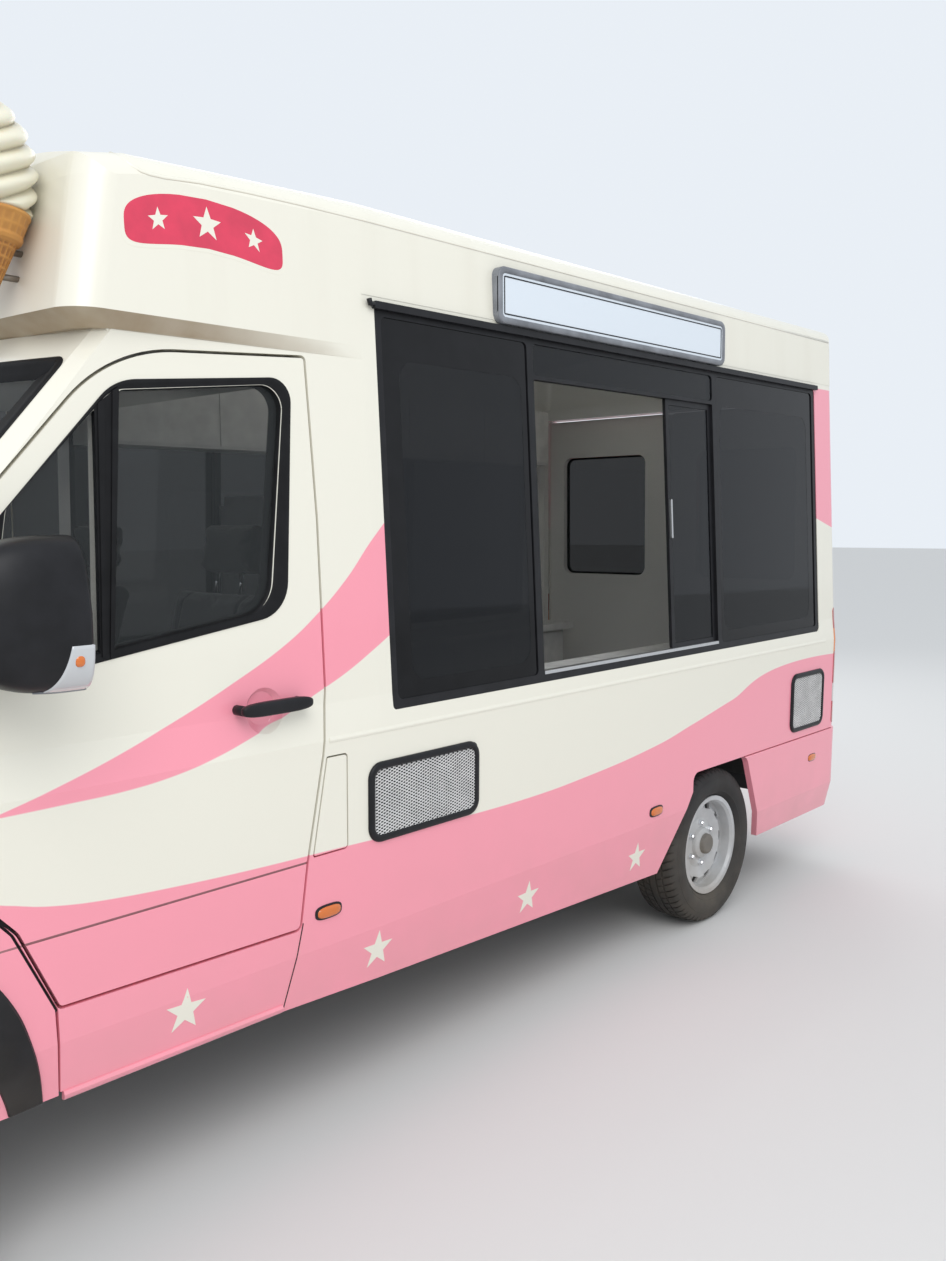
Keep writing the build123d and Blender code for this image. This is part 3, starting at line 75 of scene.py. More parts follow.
# Upper cab at the belt and at the roof: z, post y, pillar x, pillar y, screen corner x, y, centre x
CAB_LOW = (1.290, 0.9855, 1.960, 0.928, 2.032, 0.880, 2.272)
CAB_HIGH = (2.285, 0.9405, 1.130, 0.893, 1.161, 0.859, 1.290)
# Pod: height, half width at the post, half width in front, x of the front corner
POD_Z = (2.285, 2.322, 2.640, 2.700, 2.740, 2.850)
POD_Y = (0.9405, 0.939, 0.928, 0.925, 0.922, 0.916)
POD_FRONT_Y = (0.893, 0.939, 0.924, 0.921, 0.918, 0.912)
POD_FRONT_X = (1.190, 1.255, 1.199, 1.183, 1.152, 1.045)
# Shoulder over the pod's side: radius, half width where it stands upright, and its foot's drop along x
SHOULDER_RADIUS = 0.1037
SHOULDER_Y = 0.930
SHOULDER_Z = 2.6592
ROOF_X = (-4.0, 0.300, 0.500, 1.060, 1.190, 1.330)
ROOF_DROP = (0.0, 0.003, 0.011, 0.036, 0.062, 0.110)

# Camera, fitted to the photograph
CAMERA_AT = (2.5895, 3.384, 1.813)
CAMERA_YAW = -138.065
CAMERA_PITCH = -5.754
CAMERA_ROLL = -0.491
CAMERA_LENS = 31.42


def side_y(x, z):
    """Half width of the body's side at x and z: straight lines between the named sections."""
    x = np.asarray(x, float)
    z = np.asarray(z, float)
    along = np.clip((x - POST_X) / (WING_REAR_X - POST_X), 0, 1.2)
    load = np.interp(z, SIDE_Z, POST_Y)
    low = (1 - along) * np.interp(z, DOOR_Z, POST_Y[:4]) + along * np.interp(z, DOOR_Z, DOOR_Y)
    up = (z - CAB_LOW[0]) / (CAB_HIGH[0] - CAB_LOW[0])
    post, pillar_x, pillar_y = (CAB_LOW[i] + up * (CAB_HIGH[i] - CAB_LOW[i]) for i in (1, 2, 3))
    high = post + (x - POST_X) / (pillar_x - POST_X) * (pillar_y - post)
    return np.where(x < POST_X, load, np.where(z < CAB_LOW[0], low, high))


def pod_y(x, z):
    """Half width of the roof pod at x and z: straight along x from the post to the front corner, and no more
    than the shoulder's arc over it."""
    post, front, corner = (np.interp(z, POD_Z, row) for row in (POD_Y, POD_FRONT_Y, POD_FRONT_X))
    side = post + np.clip((x - POST_X) / (corner - POST_X), 0, 1) * (front - post)
    up = (z - SHOULDER_Z + np.interp(x, ROOF_X, ROOF_DROP)) / SHOULDER_RADIUS
    arc = SHOULDER_Y - SHOULDER_RADIUS * (1 - np.sqrt(1 - np.clip(up, 0, 0.99) ** 2))
    return np.where(up > 0, np.minimum(side, arc), side)


def screen_x(y, z):
    """X of the bowed screen at y and z: at each height, a circle through both corners and the centre."""
    y = np.asarray(y, float)
    up = (np.asarray(z, float) - CAB_LOW[0]) / (CAB_HIGH[0] - CAB_LOW[0])
    corner_x, corner_y, centre_x = (CAB_LOW[i] + up * (CAB_HIGH[i] - CAB_LOW[i]) for i in (4, 5, 6))
    rise = centre_x - corner_x
    radius = (corner_y**2 + rise**2) / (2 * rise)
    return centre_x - radius + np.sqrt(radius**2 - y**2)


def on_side(x, z, side, lift=0.0):
    """Points on the left (side 1) or right (side -1) of the body, lifted off it along y."""
    return np.stack([x, side * (side_y(x, z) + lift), z], axis=-1)


def length_setting(name, description, default):
    """A size in metres that a user would change."""
    return bpy.props.FloatProperty(name=name, description=description, default=default, unit="LENGTH")


def colour_setting(name, description, default):
    """A colour in linear light that a user would change."""
    return bpy.props.FloatVectorProperty(name=name, description=description, default=default, subtype="COLOR")


class VanSizes(bpy.types.PropertyGroup):
    """Sizes that a user would change."""

    seal_width: length_setting("Window rubber", "Width of the door windows' rubber", 0.030)
    tread_depth: length_setting("Tread depth", "Depth of the tyres' grooves", 0.007)
    star_size: length_setting("Star", "Radius of the stars on the skirts", 0.062)
    flutes: bpy.props.IntProperty(name="Flutes", description="Flutes round a swirl of ice cream", default=8)
    vent_cell: length_setting("Vent mesh", "Length of one diamond of the vents' mesh", 0.021)


class VanColours(bpy.types.PropertyGroup):
    """Colours that a user would change, in linear light."""

    cream: colour_setting("Cream", "Body colour", (0.83, 0.80, 0.69))
    pink: colour_setting("Pink", "Skirts and stripe", (0.93, 0.32, 0.40))
    wafer: colour_setting("Wafer", "Cone colour", (0.62, 0.29, 0.06))
    swirl: colour_setting("Swirl", "Ice cream colour", (0.80, 0.76, 0.60))
    amber: colour_setting("Amber", "Side lamps", (0.66, 0.15, 0.008))


# Surfaces


def grid_faces(rows, columns, wrap_rows=False, wrap_columns=False):
    """Quads of a grid of points, numbered row by row, joined up where it wraps."""
    row = np.arange(rows if wrap_rows else rows - 1)[:, None]
    column = np.arange(columns if wrap_columns else columns - 1)[None, :]
    next_row = (row + 1) % rows
    next_column = (column + 1) % columns
    corners = (row * columns + column, row * columns + next_column,
               next_row * columns + next_column, next_row * columns + column)
    return np.stack([np.broadcast_to(c, (row.size, column.size)) for c in corners], axis=-1).reshape(-1, 4)


def looped(points):
    """Rows of points that join up both ways, and their faces."""
    rows, columns = points.shape[:2]
    return points.reshape(-1, 3), grid_faces(rows, columns, True, True)


def capped(points):
    """Rings of points, the faces between them and a cap at each end."""
    rows, count = points.shape[:2]
    last = (rows - 1) * count
    caps = [list(range(count)), list(range(last, last + count))]
    return points.reshape(-1, 3), grid_faces(rows, count, False, True).tolist() + caps


def add_mesh(name, points, faces, material, smooth=True, valley=None):
    """A mesh object at the origin from points and faces; valley is kept as a value at each point."""
    mesh = bpy.data.meshes.new(name)
    mesh.from_pydata(np.asarray(points, float).reshape(-1, 3).tolist(), [], [list(f) for f in faces])
    if valley is not None:
        held = mesh.attributes.new("valley", "FLOAT", "POINT")
        held.data.foreach_set("value", np.asarray(valley, np.float32).ravel())
    mesh.validate()
    if smooth:
        mesh.shade_smooth()
    else:
        mesh.shade_flat()
    mesh.materials.append(material)
    piece = bpy.data.objects.new(name, mesh)
    bpy.context.scene.collection.objects.link(piece)
    return piece


def join_parts(parts):
    """One array of points and one list of faces from several, their numbers moved along."""
    points, faces, count = [], [], 0
    for part_points, part_faces in parts:
        part_points = np.asarray(part_points, float).reshape(-1, 3)
        points.append(part_points)
        faces += [[int(i) + count for i in face] for face in part_faces]
        count += len(part_points)
    return np.concatenate(points), faces


def place(piece, body, replaced=()):
    """Lets a piece ride on a body, and hides the CAD nodes that it stands for."""
    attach(piece, body)
    if replaced:
        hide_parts(*replaced)


def face_outwards(piece):
    """Merges doubled points and turns all faces of a closed piece outwards."""
    work = bmesh.new()
    work.from_mesh(piece.data)
    bmesh.ops.remove_doubles(work, verts=work.verts, dist=DOUBLED)
    bmesh.ops.recalc_face_normals(work, faces=work.faces)
    work.to_mesh(piece.data)
    work.free()


def make(name, parts, finish, body="root", smooth=True, edge=None, replaced=(), valley=None):
    """A piece from its parts, on its body; with an edge, smooth except over more degrees than that."""
    piece = add_mesh(name, *join_parts(parts), MATERIALS[finish], smooth, valley)
    face_outwards(piece)
    if edge:
        piece.data.shade_smooth()
        piece.data.set_sharp_from_angle(angle=radians(edge))
    place(piece, body, replaced)


def unit(vectors):
    """Directions: vectors over their lengths."""
    return vectors / np.linalg.norm(vectors, axis=-1, keepdims=True)


def distances(path):
    """How far along a path each of its points lies."""
    return np.concatenate([[0], np.cumsum(np.linalg.norm(np.diff(path, axis=0), axis=1))])


def sense(outline):
    """1 for an outline that runs anticlockwise and -1 for a clockwise one, from the area inside it."""
    after = np.roll(outline, -1, axis=0)
    return np.sign((outline[:, 0] * after[:, 1] - after[:, 0] * outline[:, 1]).sum())


def slopes(height, a, b, step=0.01):
    """Slopes of a surface along a and along b, from its heights a step to both sides."""
    along_a = (height(a + step, b) - height(a - step, b)) / (2 * step)
    along_b = (height(a, b + step) - height(a, b - step)) / (2 * step)
    return along_a, along_b


def rounded_outline(corners, steps=8):
    """Closed outline from rows (a, b, radius): each corner is an arc that touches both of its edges."""
    rows = np.array(corners, float)
    spots = rows[:, :2]
    befores = unit(np.roll(spots, 1, axis=0) - spots)
    afters = unit(np.roll(spots, -1, axis=0) - spots)
    found = []
    for point, before, after, radius in zip(spots, befores, afters, rows[:, 2]):
        if radius == 0:
            found.append(point[None])
            continue
        half = np.arccos(np.clip(before @ after, -1, 1)) / 2
        reach = radius / tan(half)
        centre = point + unit(before + after) * radius / sin(half)
        start = point + before * reach - centre
        end = point + after * reach - centre
        angle = np.arctan2(start[0] * end[1] - start[1] * end[0], start @ end)
        turn = np.linspace(0, angle, steps)[:, None]
        found.append(centre + np.cos(turn) * start + np.sin(turn) * np.array((-start[1], start[0])))
    return np.concatenate(found)


def point_counts(path, spacing):
    """How many points each edge of a closed outline needs so that none are further apart than the spacing."""
    lengths = np.linalg.norm(np.roll(path, -1, axis=0) - path, axis=1)
    return np.maximum(1, np.ceil(lengths / spacing)).astype(int)


def fill_in(path, spacing, counts=None):
    """Closed outline with points added along its edges."""
    if counts is None:
        counts = point_counts(path, spacing)
    ends = np.roll(path, -1, axis=0)
    spans = np.repeat(np.arange(len(path)), counts)
    first = np.repeat(np.cumsum(counts) - counts, counts)
    share = ((np.arange(counts.sum()) - first) / counts[spans])[:, None]
    return path[spans] * (1 - share) + ends[spans] * share


def carried(profile, path, outward, closed=True):
    """A profile (side, lift) carried along a 3-D path: each point is moved by side along the direction that
    is square to the path and to the outward direction, and by lift along the outward direction."""
    path = np.asarray(path, float)
    if closed:
        ahead = unit(np.roll(path, -1, axis=0) - np.roll(path, 1, axis=0))
    else:
        ahead = unit(np.gradient(path, axis=0))
    outward = np.broadcast_to(outward, path.shape)
    outward = unit(outward - (outward * ahead).sum(1)[:, None] * ahead)
    sideways = np.cross(ahead, outward)
    side, lift = np.asarray(profile, float).T[:, None, :, None]
    return path[:, None] + side * sideways[:, None] + lift * outward[:, None]


def side_normals(path, side):
    """Outward directions of the body's side along a path, from the slope of its half width."""
    slope_x, slope_z = slopes(side_y, path[:, 0], path[:, 2])
    return unit(np.stack([-slope_x, np.full(len(path), side * 1.0), -slope_z], axis=-1))


def tube(path, radius, sides):
    """A round rod along a path, with flat ends: circles square to the path."""
    angle = np.linspace(0, tau, sides, endpoint=False)
    profile = np.stack([np.cos(angle), np.sin(angle)], axis=-1) * radius
    path = np.asarray(path, float)
    level = abs(path[-1][2] - path[0][2]) < np.ptp(path[:, :2])
    return capped(carried(profile, path, (0.0, 0.0, 1.0) if level else (1.0, 0.0, 0.0), False))


def turned(profile, centre, axis, steps):
    """A profile (distance along the axis, radius) turned about a level axis through the centre."""
    axis = np.asarray(axis, float)
    first = unit(np.cross(axis, (0.0, 0.0, 1.0)))
    second = np.cross(axis, first)
    angle = np.linspace(0, tau, steps, endpoint=False)[:, None]
    ring = np.cos(angle) * first + np.sin(angle) * second
    along, radius = np.asarray(profile, float).T[:, :, None, None]
    points = np.asarray(centre) + along * axis + radius * ring
    return points.reshape(-1, 3), grid_faces(len(profile), steps, False, True)


def super_power(value, power):
    """A number raised to a power with its sign kept."""
    return np.sign(value) * np.abs(value) ** power


def pillow(centre, half, round_plan, round_side, steps, rows):
    """A superellipsoid: x = a C(v) C(u), y = b C(v) S(u), z = c S(v), where C and S are the cosine and sine
    raised to a power that keeps their sign. Powers under 1 make it boxier."""
    v = np.linspace(-pi / 2, pi / 2, rows)[:, None]
    u = np.linspace(0, tau, steps, endpoint=False)[None, :]
    flat = super_power(np.cos(v), round_side)
    x = half[0] * flat * super_power(np.cos(u), round_plan)
    y = half[1] * flat * super_power(np.sin(u), round_plan)
    z = half[2] * super_power(np.sin(v), round_side) * np.ones_like(u)
    points = np.stack([x, y, z], axis=-1) + np.asarray(centre)
    return points.reshape(-1, 3), grid_faces(rows, steps, False, True)


def star(inner, turn=0.0):
    """Ten corners of a star, alternately at radius 1 and at the inner radius, turned by an angle."""
    angle = turn + pi / 2 + np.arange(10) * tau / 10
    reach = np.where(np.arange(10) % 2 == 0, 1.0, inner)
    return np.stack([reach * np.cos(angle), reach * np.sin(angle)], axis=-1)


def box_corners(box, radius, grow=0.0):
    """Corner rows of a rounded rectangle (low a, high a, low b, high b), grown on all sides."""
    low_a, high_a, low_b, high_b = np.add(box, (-grow, grow, -grow, grow))
    return (low_a, low_b, radius), (high_a, low_b, radius), (high_a, high_b, radius), (low_a, high_b, radius)


def mirrored(part):
    """The same part on the other side of the van."""
    points, faces = part
    return np.asarray(points, float).reshape(-1, 3) * (1, -1, 1), [list(f)[::-1] for f in faces]


def ring_on_side(corners, section, side, spacing):
    """A section (distance towards the middle, lift) carried round an outline on the body's side."""
    flat = fill_in(rounded_outline(corners), spacing)
    path = on_side(flat[:, 0], flat[:, 1], side)
    section = np.asarray(section, float) * (side * sense(flat), 1)
    return looped(carried(section, path, side_normals(path, side)))


def ring_between(outer, inner, rows, side, spacing=0.05, steps=10):
    """A closed ring on the body's side between two outlines with as many corners. Its section is given by
    rows of share (0 at the outer outline, 1 at the inner one) and lift."""
    outer, inner = rounded_outline(outer, steps), rounded_outline(inner, steps)
    counts = point_counts(outer, spacing)
    outer, inner = (fill_in(path, spacing, counts) for path in (outer, inner))
    share, lift = np.array(rows).T[:, :, None]
    spread = outer[None] + (inner - outer)[None] * share[..., None]
    return looped(on_side(spread[..., 0], spread[..., 1], side, lift))


def shell(front, back):
    """A closed sheet from two grids of points with as many rows and columns."""
    rows, columns = front.shape[:2]
    numbers = np.arange(rows * columns).reshape(rows, columns)
    sheet = grid_faces(rows, columns)
    rim = np.concatenate([numbers[0, :-1], numbers[:-1, -1], numbers[-1, :0:-1], numbers[:0:-1, 0]])
    after = np.roll(rim, -1)
    count = rows * columns
    edge = np.stack([rim, after, after + count, rim + count], axis=-1)
    faces = np.concatenate([sheet, sheet[:, ::-1] + count, edge])
    return np.concatenate([front.reshape(-1, 3), back.reshape(-1, 3)]), faces


def spread_out(outline, shares):
    """An outline drawn in to its middle, once for each share."""
    middle = outline.mean(0)
    return middle + (outline - middle)[None] * np.asarray(shares)[:, None, None]


def plate_on_side(corners, side, lift, depth, rings=1, spacing=0.06):
    """A thin plate on the body's side: rings from a centre to the outline, front and back, closed."""
    flat = fill_in(rounded_outline(corners), spacing)
    out = np.linspace(0.02, 1, rings + 1)
    spread = spread_out(flat, np.concatenate([out, out[::-1]]))
    lifts = np.repeat((lift - depth, lift), rings + 1)
    return capped(on_side(spread[..., 0], spread[..., 1], side, lifts[:, None]))


# Materials

VECTOR, COLOR, FLOAT = "NodeSocketVector", "NodeSocketColor", "NodeSocketFloat"


class Nodes:
    """A node tree with short calls: each adds a node, sets values, and links what is a socket."""

    def __init__(self, tree):
        self.tree = tree

    def put(self, value, target):
        """Links an output to a socket, or sets the socket's own value."""
        if isinstance(value, bpy.types.NodeSocket):
            self.tree.links.new(value, target)
        else:
            target.default_value = value

    def add(self, kind, inputs=None, **settings):
        """Adds a node; inputs maps a socket's name or number to a value or to another node's output."""
        node = self.tree.nodes.new(kind)
        for key, value in settings.items():
            setattr(node, key, value)
        for key, value in (inputs or {}).items():
            self.put(value, node.inputs[key])
        return node

    def maths(self, operation, first, second=0.0, clamp=False):
        """One sum on two numbers."""
        inputs = {0: first, 1: second}
        return self.add("ShaderNodeMath", inputs, operation=operation, use_clamp=clamp).outputs[0]

    def times(self, first, second):
        """Two numbers multiplied."""
        return self.maths("MULTIPLY", first, second)

    def minus(self, first, second):
        """One number less another."""
        return self.maths("SUBTRACT", first, second)

    def mix(self, share, first, second, blend="MIX"):
        """Two colours mixed by a share."""
        inputs = {0: share, 6: first, 7: second}
        return self.add("ShaderNodeMix", inputs, data_type="RGBA", blend_type=blend).outputs[2]

    def ramp(self, value, low, high, first=0.0, second=1.0):
        """A number stretched from one range to another, and clamped."""
        inputs = {"Value": value, "From Min": low, "From Max": high, "To Min": first, "To Max": second}
        return self.add("ShaderNodeMapRange", inputs).outputs[0]

    def split(self, vector):
        """X, y and z of a vector."""
        return self.add("ShaderNodeSeparateXYZ", {0: vector}).outputs

    def noise(self, vector, scale, detail):
        """Soft noise from 0 to 1."""
        return self.add("ShaderNodeTexNoise", {"Vector": vector, "Scale": scale, "Detail": detail}).outputs[0]

    def stretched(self, vector, scale):
        """A place stretched along its axes."""
        return self.add("ShaderNodeMapping", {"Vector": vector, "Scale": scale}).outputs[0]

    def above(self, value, limit, soft=0.0015):
        """1 where the value is above the limit, with a thin soft edge."""
        return self.ramp(self.minus(value, limit), -soft, soft)

    def below(self, value, limit, soft=0.0015):
        """1 where the value is below the limit, with a thin soft edge."""
        return self.minus(1.0, self.above(value, limit, soft))

    def between(self, value, low, high, soft=0.0015):
        """1 where the value is between two limits."""
        return self.times(self.above(value, low, soft), self.below(value, high, soft))

    def curve(self, value, points):
        """A height read off a smooth curve through points, both in metres."""
        points = np.array(sorted(points))
        low, span = points[0, 0], float(np.ptp(points[:, 0]))
        floor, rise = float(points[:, 1].min()), float(np.ptp(points[:, 1]))
        node = self.add("ShaderNodeFloatCurve", {"Value": self.ramp(value, float(low), float(low) + span)})
        line = node.mapping.curves[0]
        spots = (points - (low, floor)) / (span, rise)
        line.points[0].location, line.points[-1].location = spots[0], spots[-1]
        for a, b in spots[1:-1]:
            line.points.new(a, b)
        node.mapping.update()
        return self.maths("ADD", self.times(node.outputs[0], rise), floor)


class Group(Nodes):
    """A node group that reads a place, with more inputs and outputs from rows of name, kind, default."""

    def __init__(self, name, inputs, outputs):
        super().__init__(bpy.data.node_groups.new(name, "ShaderNodeTree"))
        for way, rows in (("INPUT", (("Vector", VECTOR), *inputs)), ("OUTPUT", outputs)):
            for title, kind, *default in rows:
                held = self.tree.interface.new_socket(title, in_out=way, socket_type=kind)
                if default:
                    held.default_value = default[0]
        self.given = self.add("NodeGroupInput").outputs
        self.place = self.given["Vector"]
        self.out = self.add("NodeGroupOutput").inputs

    def give(self, **values):
        """Links the group's outputs and hands over the finished group."""
        for key, value in values.items():
            self.put(value, self.out[key])
        return self.tree


# Livery lines on the side: x and height
PINK_TOP = (
    (-2.95, 1.105), (-2.469, 1.113), (-1.8, 1.000), (-1.456, 0.937), (-1.146, 0.887), (-0.7, 0.850),
    (-0.375, 0.837), (0.018, 0.841), (0.453, 0.857), (0.812, 0.868), (1.045, 0.880), (1.253, 0.897),
    (1.380, 0.916), (1.497, 0.948), (1.7, 1.000), (2.1, 1.02), (2.95, 0.93),
)
STRIPE_TOP = (
    (-0.9, 2.45), (-0.2, 2.20), (0.328, 1.770), (0.451, 1.641), (0.567, 1.544), (0.677, 1.471),
    (0.862, 1.380), (1.048, 1.301), (1.221, 1.239), (1.380, 1.193), (1.507, 1.160),
)
STRIPE_FOOT = (
    (-0.9, 2.20), (-0.2, 1.75), (0.350, 1.433), (0.469, 1.370), (0.582, 1.322), (0.701, 1.271),
    (0.821, 1.228),
    (0.930, 1.196), (1.066, 1.169), (1.191, 1.157), (1.346, 1.154), (1.507, 1.153),
)
TAIL_STRIPE_TOP = ((-2.99, 2.265), (-2.907, 2.315), (-2.691, 2.405), (-2.5, 2.46))
TAIL_STRIPE_FOOT = ((-2.99, 1.735), (-2.939, 1.743), (-2.723, 1.796), (-2.5, 1.86))
STRIPE_FRONT_X = 1.507
TAIL_STRIPE_FRONT_X = -2.52
# Painted shade line along the groove pressed into doors and wings: height, half width, x where it starts
GROOVE = (0.8425, 0.0026, 0.632)


def livery_group():
    """Cream over pink, with the two sweeping stripes, read from the place on the body."""
    group = Group("livery", (("Cream", COLOR), ("Pink", COLOR)), (("Color", COLOR),))
    x, _, z = group.split(group.place)
    share = group.below(z, group.curve(x, PINK_TOP))
    for foot, top, front_x in ((STRIPE_FOOT, STRIPE_TOP, STRIPE_FRONT_X),
                               (TAIL_STRIPE_FOOT, TAIL_STRIPE_TOP, TAIL_STRIPE_FRONT_X)):
        stripe = group.between(z, group.curve(x, foot), group.curve(x, top))
        share = group.maths("MAXIMUM", share, group.times(stripe, group.below(x, front_x)), clamp=True)
    return group.give(Color=group.mix(share, group.given["Cream"], group.given["Pink"]))


def inside_group():
    """Which faces look into the van: 1 on inner faces of the sides, tail, roof and the pod's front."""
    group = Group("inner faces", (("Normal", VECTOR),), (("Inside", FLOAT),))
    spot = group.split(group.place)
    facing = group.split(group.given["Normal"])
    sideways = group.times(facing[1], group.maths("SIGN", spot[1]))
    found = group.maths("LESS_THAN", sideways, -0.3)
    # Axis and sense of the normal, axis that must pass a limit, test, limit, and x that it lies ahead of
    rows = (
        (0, 1.0, 0, "LESS_THAN", -2.78, None),
        (2, -1.0, 2, "GREATER_THAN", 2.45, None),
        (0, -1.0, 2, "GREATER_THAN", 2.34, 0.4),
    )
    for axis, way, limit_axis, test, limit, front_x in rows:
        looks = group.maths("GREATER_THAN", group.times(facing[axis], way), 0.5)
        share = group.times(looks, group.maths(test, spot[limit_axis], limit))
        if front_x:
            share = group.times(share, group.maths("GREATER_THAN", spot[0], front_x))
        found = group.maths("MAXIMUM", found, share)
    return group.give(Inside=found)


def groove_shade_group():
    """Painted shade: a dark line along the upper of the two grooves pressed into the doors and wings."""
    group = Group("groove shade", (("Color", COLOR),), (("Color", COLOR),))
    height, half_width, start_x = GROOVE
    x, _, z = group.split(group.place)
    # Painted shade: the dark line stands in for the shade in the groove
    found = group.maths("LESS_THAN", group.maths("ABSOLUTE", group.minus(z, height)), half_width)
    share = group.times(group.times(found, group.maths("GREATER_THAN", x, start_x)), 0.75)
    return group.give(Color=group.mix(share, group.given["Color"], (0.12, 0.07, 0.06, 1)))


def dust_group():
    """Road dust: thicker towards the ground and in soft patches. Gives the dusted colour and roughness."""
    inputs = (("Color", COLOR), ("Roughness", FLOAT, 0.3), ("Amount", FLOAT, 0.3), ("Top", FLOAT, 0.9))
    group = Group("road dust", inputs, (("Color", COLOR), ("Roughness", FLOAT)))
    patches = group.ramp(group.noise(group.place, 5.0, 6.0), 0.25, 0.75)
    low = group.minus(1.0, group.ramp(group.split(group.place)[2], 0.2, group.given["Top"]))
    low = group.maths("POWER", low, 1.6)
    share = group.times(group.times(low, patches), group.given["Amount"])
    rough = group.maths("ADD", group.given["Roughness"], group.times(share, 0.5), clamp=True)
    return group.give(Color=group.mix(share, group.given["Color"], (0.36, 0.30, 0.22, 1)), Roughness=rough)


def grain_group():
    """Moulded grain: small cells and soft mottling, as a height."""
    group = Group("moulded grain", (("Scale", FLOAT, 900.0),), (("Height", FLOAT), ("Mottle", FLOAT)))
    inputs = {"Vector": group.place, "Scale": group.given["Scale"]}
    cells = group.add("ShaderNodeTexVoronoi", inputs).outputs[0]
    return group.give(Height=cells, Mottle=group.noise(group.place, 14.0, 4.0))


def brushed_group():
    """Brushed metal: noise stretched along one axis, as a height and a roughness."""
    group = Group("brushed metal", (("Roughness", FLOAT, 0.35),), (("Height", FLOAT), ("Roughness", FLOAT)))
    lines = group.noise(group.stretched(group.place, (6.0, 300.0, 300.0)), 2.0, 3.0)
    rough = group.maths("ADD", group.given["Roughness"], group.times(group.minus(lines, 0.5), 0.2))
    return group.give(Height=lines, Roughness=rough)


def weave_group():
    """Woven seat cloth: two sets of threads that pass over and under, as a height, and a flecked shade."""
    group = Group("seat weave", (("Pitch", FLOAT, 0.0024),), (("Height", FLOAT), ("Fleck", FLOAT)))
    turns = group.maths("DIVIDE", tau, group.given["Pitch"])
    x, y, z = (group.maths("SINE", group.times(part, turns)) for part in group.split(group.place))
    height = group.times(y, group.maths("ADD", x, z))
    return group.give(Height=height, Fleck=group.noise(group.place, 260.0, 2.0))


class Finish(Nodes):
    """A new material with a Principled shader and object coordinates, ready for effect groups."""

    def __init__(self, name, color, roughness, **constants):
        self.material = bpy.data.materials.new(name)
        self.material.use_nodes = True
        super().__init__(self.material.node_tree)
        self.shader = self.tree.nodes["Principled BSDF"]
        self.shader.inputs["Base Color"].default_value = (*color[:3], 1)
        self.shader.inputs["Roughness"].default_value = roughness
        for key, value in constants.items():
            self.shader.inputs[key.replace("_", " ")].default_value = value
        coordinates = self.add("ShaderNodeTexCoord").outputs
        self.place, self.facing = coordinates["Object"], coordinates["Normal"]

    def effect(self, group, **inputs):
        """Places an effect group in this material; a colour may have three numbers."""
        node = self.add("ShaderNodeGroup", node_tree=GROUPS[group])
        for key, value in {"Vector": self.place, **inputs}.items():
            if isinstance(value, (tuple, list)):
                value = (*value, 1)
            self.put(value, node.inputs[key])
        return node.outputs

    def feed(self, key, value):
        """Links an output to one of the shader's sockets."""
        self.put(value, self.shader.inputs[key])

    def bump(self, height, distance, strength):
        """Feeds a height to the shader's normal."""
        node = self.add("ShaderNodeBump", {"Height": height, "Distance": distance, "Strength": strength})
        self.feed("Normal", node.outputs[0])

    def shaded(self, color, mottle, dark, light):
        """A colour made darker and lighter in soft patches."""
        tone = self.ramp(mottle, 0.3, 0.7, dark, light)
        grey = self.add("ShaderNodeCombineColor", {0: tone, 1: tone, 2: tone}).outputs[0]
        return self.mix(1.0, (*color, 1), grey, blend="MULTIPLY")

    def dusty(self, color, roughness, amount):
        """Feeds a colour and a roughness, dusted, to the shader."""
        dusted = self.effect("dust", Color=color, Roughness=roughness, Amount=amount)
        self.feed("Base Color", dusted["Color"])
        self.feed("Roughness", dusted["Roughness"])


MATERIALS = {}
GROUPS = {}


def paint_finish(name, inner):
    """Body paint: the livery in clear coat, with a painted shade line along the upper groove, dusty low down,
    with a faint orange peel, and another colour on faces that look into the van."""
    colours = bpy.context.scene.van_colours
    paint = Finish(name, colours.cream, 0.34, Coat_Weight=0.6, Coat_Roughness=0.06)
    livery = paint.effect("livery", Cream=tuple(colours.cream), Pink=tuple(colours.pink))["Color"]
    # Painted shade: a dark line along the upper groove
    groove_shaded = paint.effect("grooves", Color=livery)["Color"]
    dusted = paint.effect("dust", Color=groove_shaded, Roughness=0.34, Amount=0.30, Top=0.95)
    inside = paint.effect("inside", Normal=paint.facing)["Inside"]
    paint.feed("Base Color", paint.mix(inside, dusted["Color"], (*inner, 1)))
    paint.feed("Roughness", dusted["Roughness"])
    paint.bump(paint.noise(paint.place, 140.0, 1.0), 0.0004, 0.12)
    return paint.material


def valley_share(finish):
    """The value kept at each point of a swirl or a wafer: 1 in the valleys."""
    return finish.add("ShaderNodeAttribute", attribute_name="valley").outputs["Fac"]


def swirl_finish():
    """Ice cream: pale cream on the flutes' backs, tan painted shade in the valleys between them, and a little
    waxy.
    """
    pale = bpy.context.scene.van_colours.swirl
    cream = Finish("ice cream", pale, 0.36, Coat_Weight=0.3, Coat_Roughness=0.15, Subsurface_Weight=0.05)
    soft = cream.noise(cream.place, 18.0, 3.0)
    # Painted shade: tan, deepest in the valleys between the flutes, in soft patches
    share = cream.times(cream.maths("POWER", valley_share(cream), 1.8), cream.ramp(soft, 0.2, 0.8, 0.75, 1.0))
    cream.feed("Base Color", cream.mix(share, (*pale, 1), (0.42, 0.34, 0.19, 1)))
    cream.bump(soft, 0.0015, 0.2)
    return cream.material


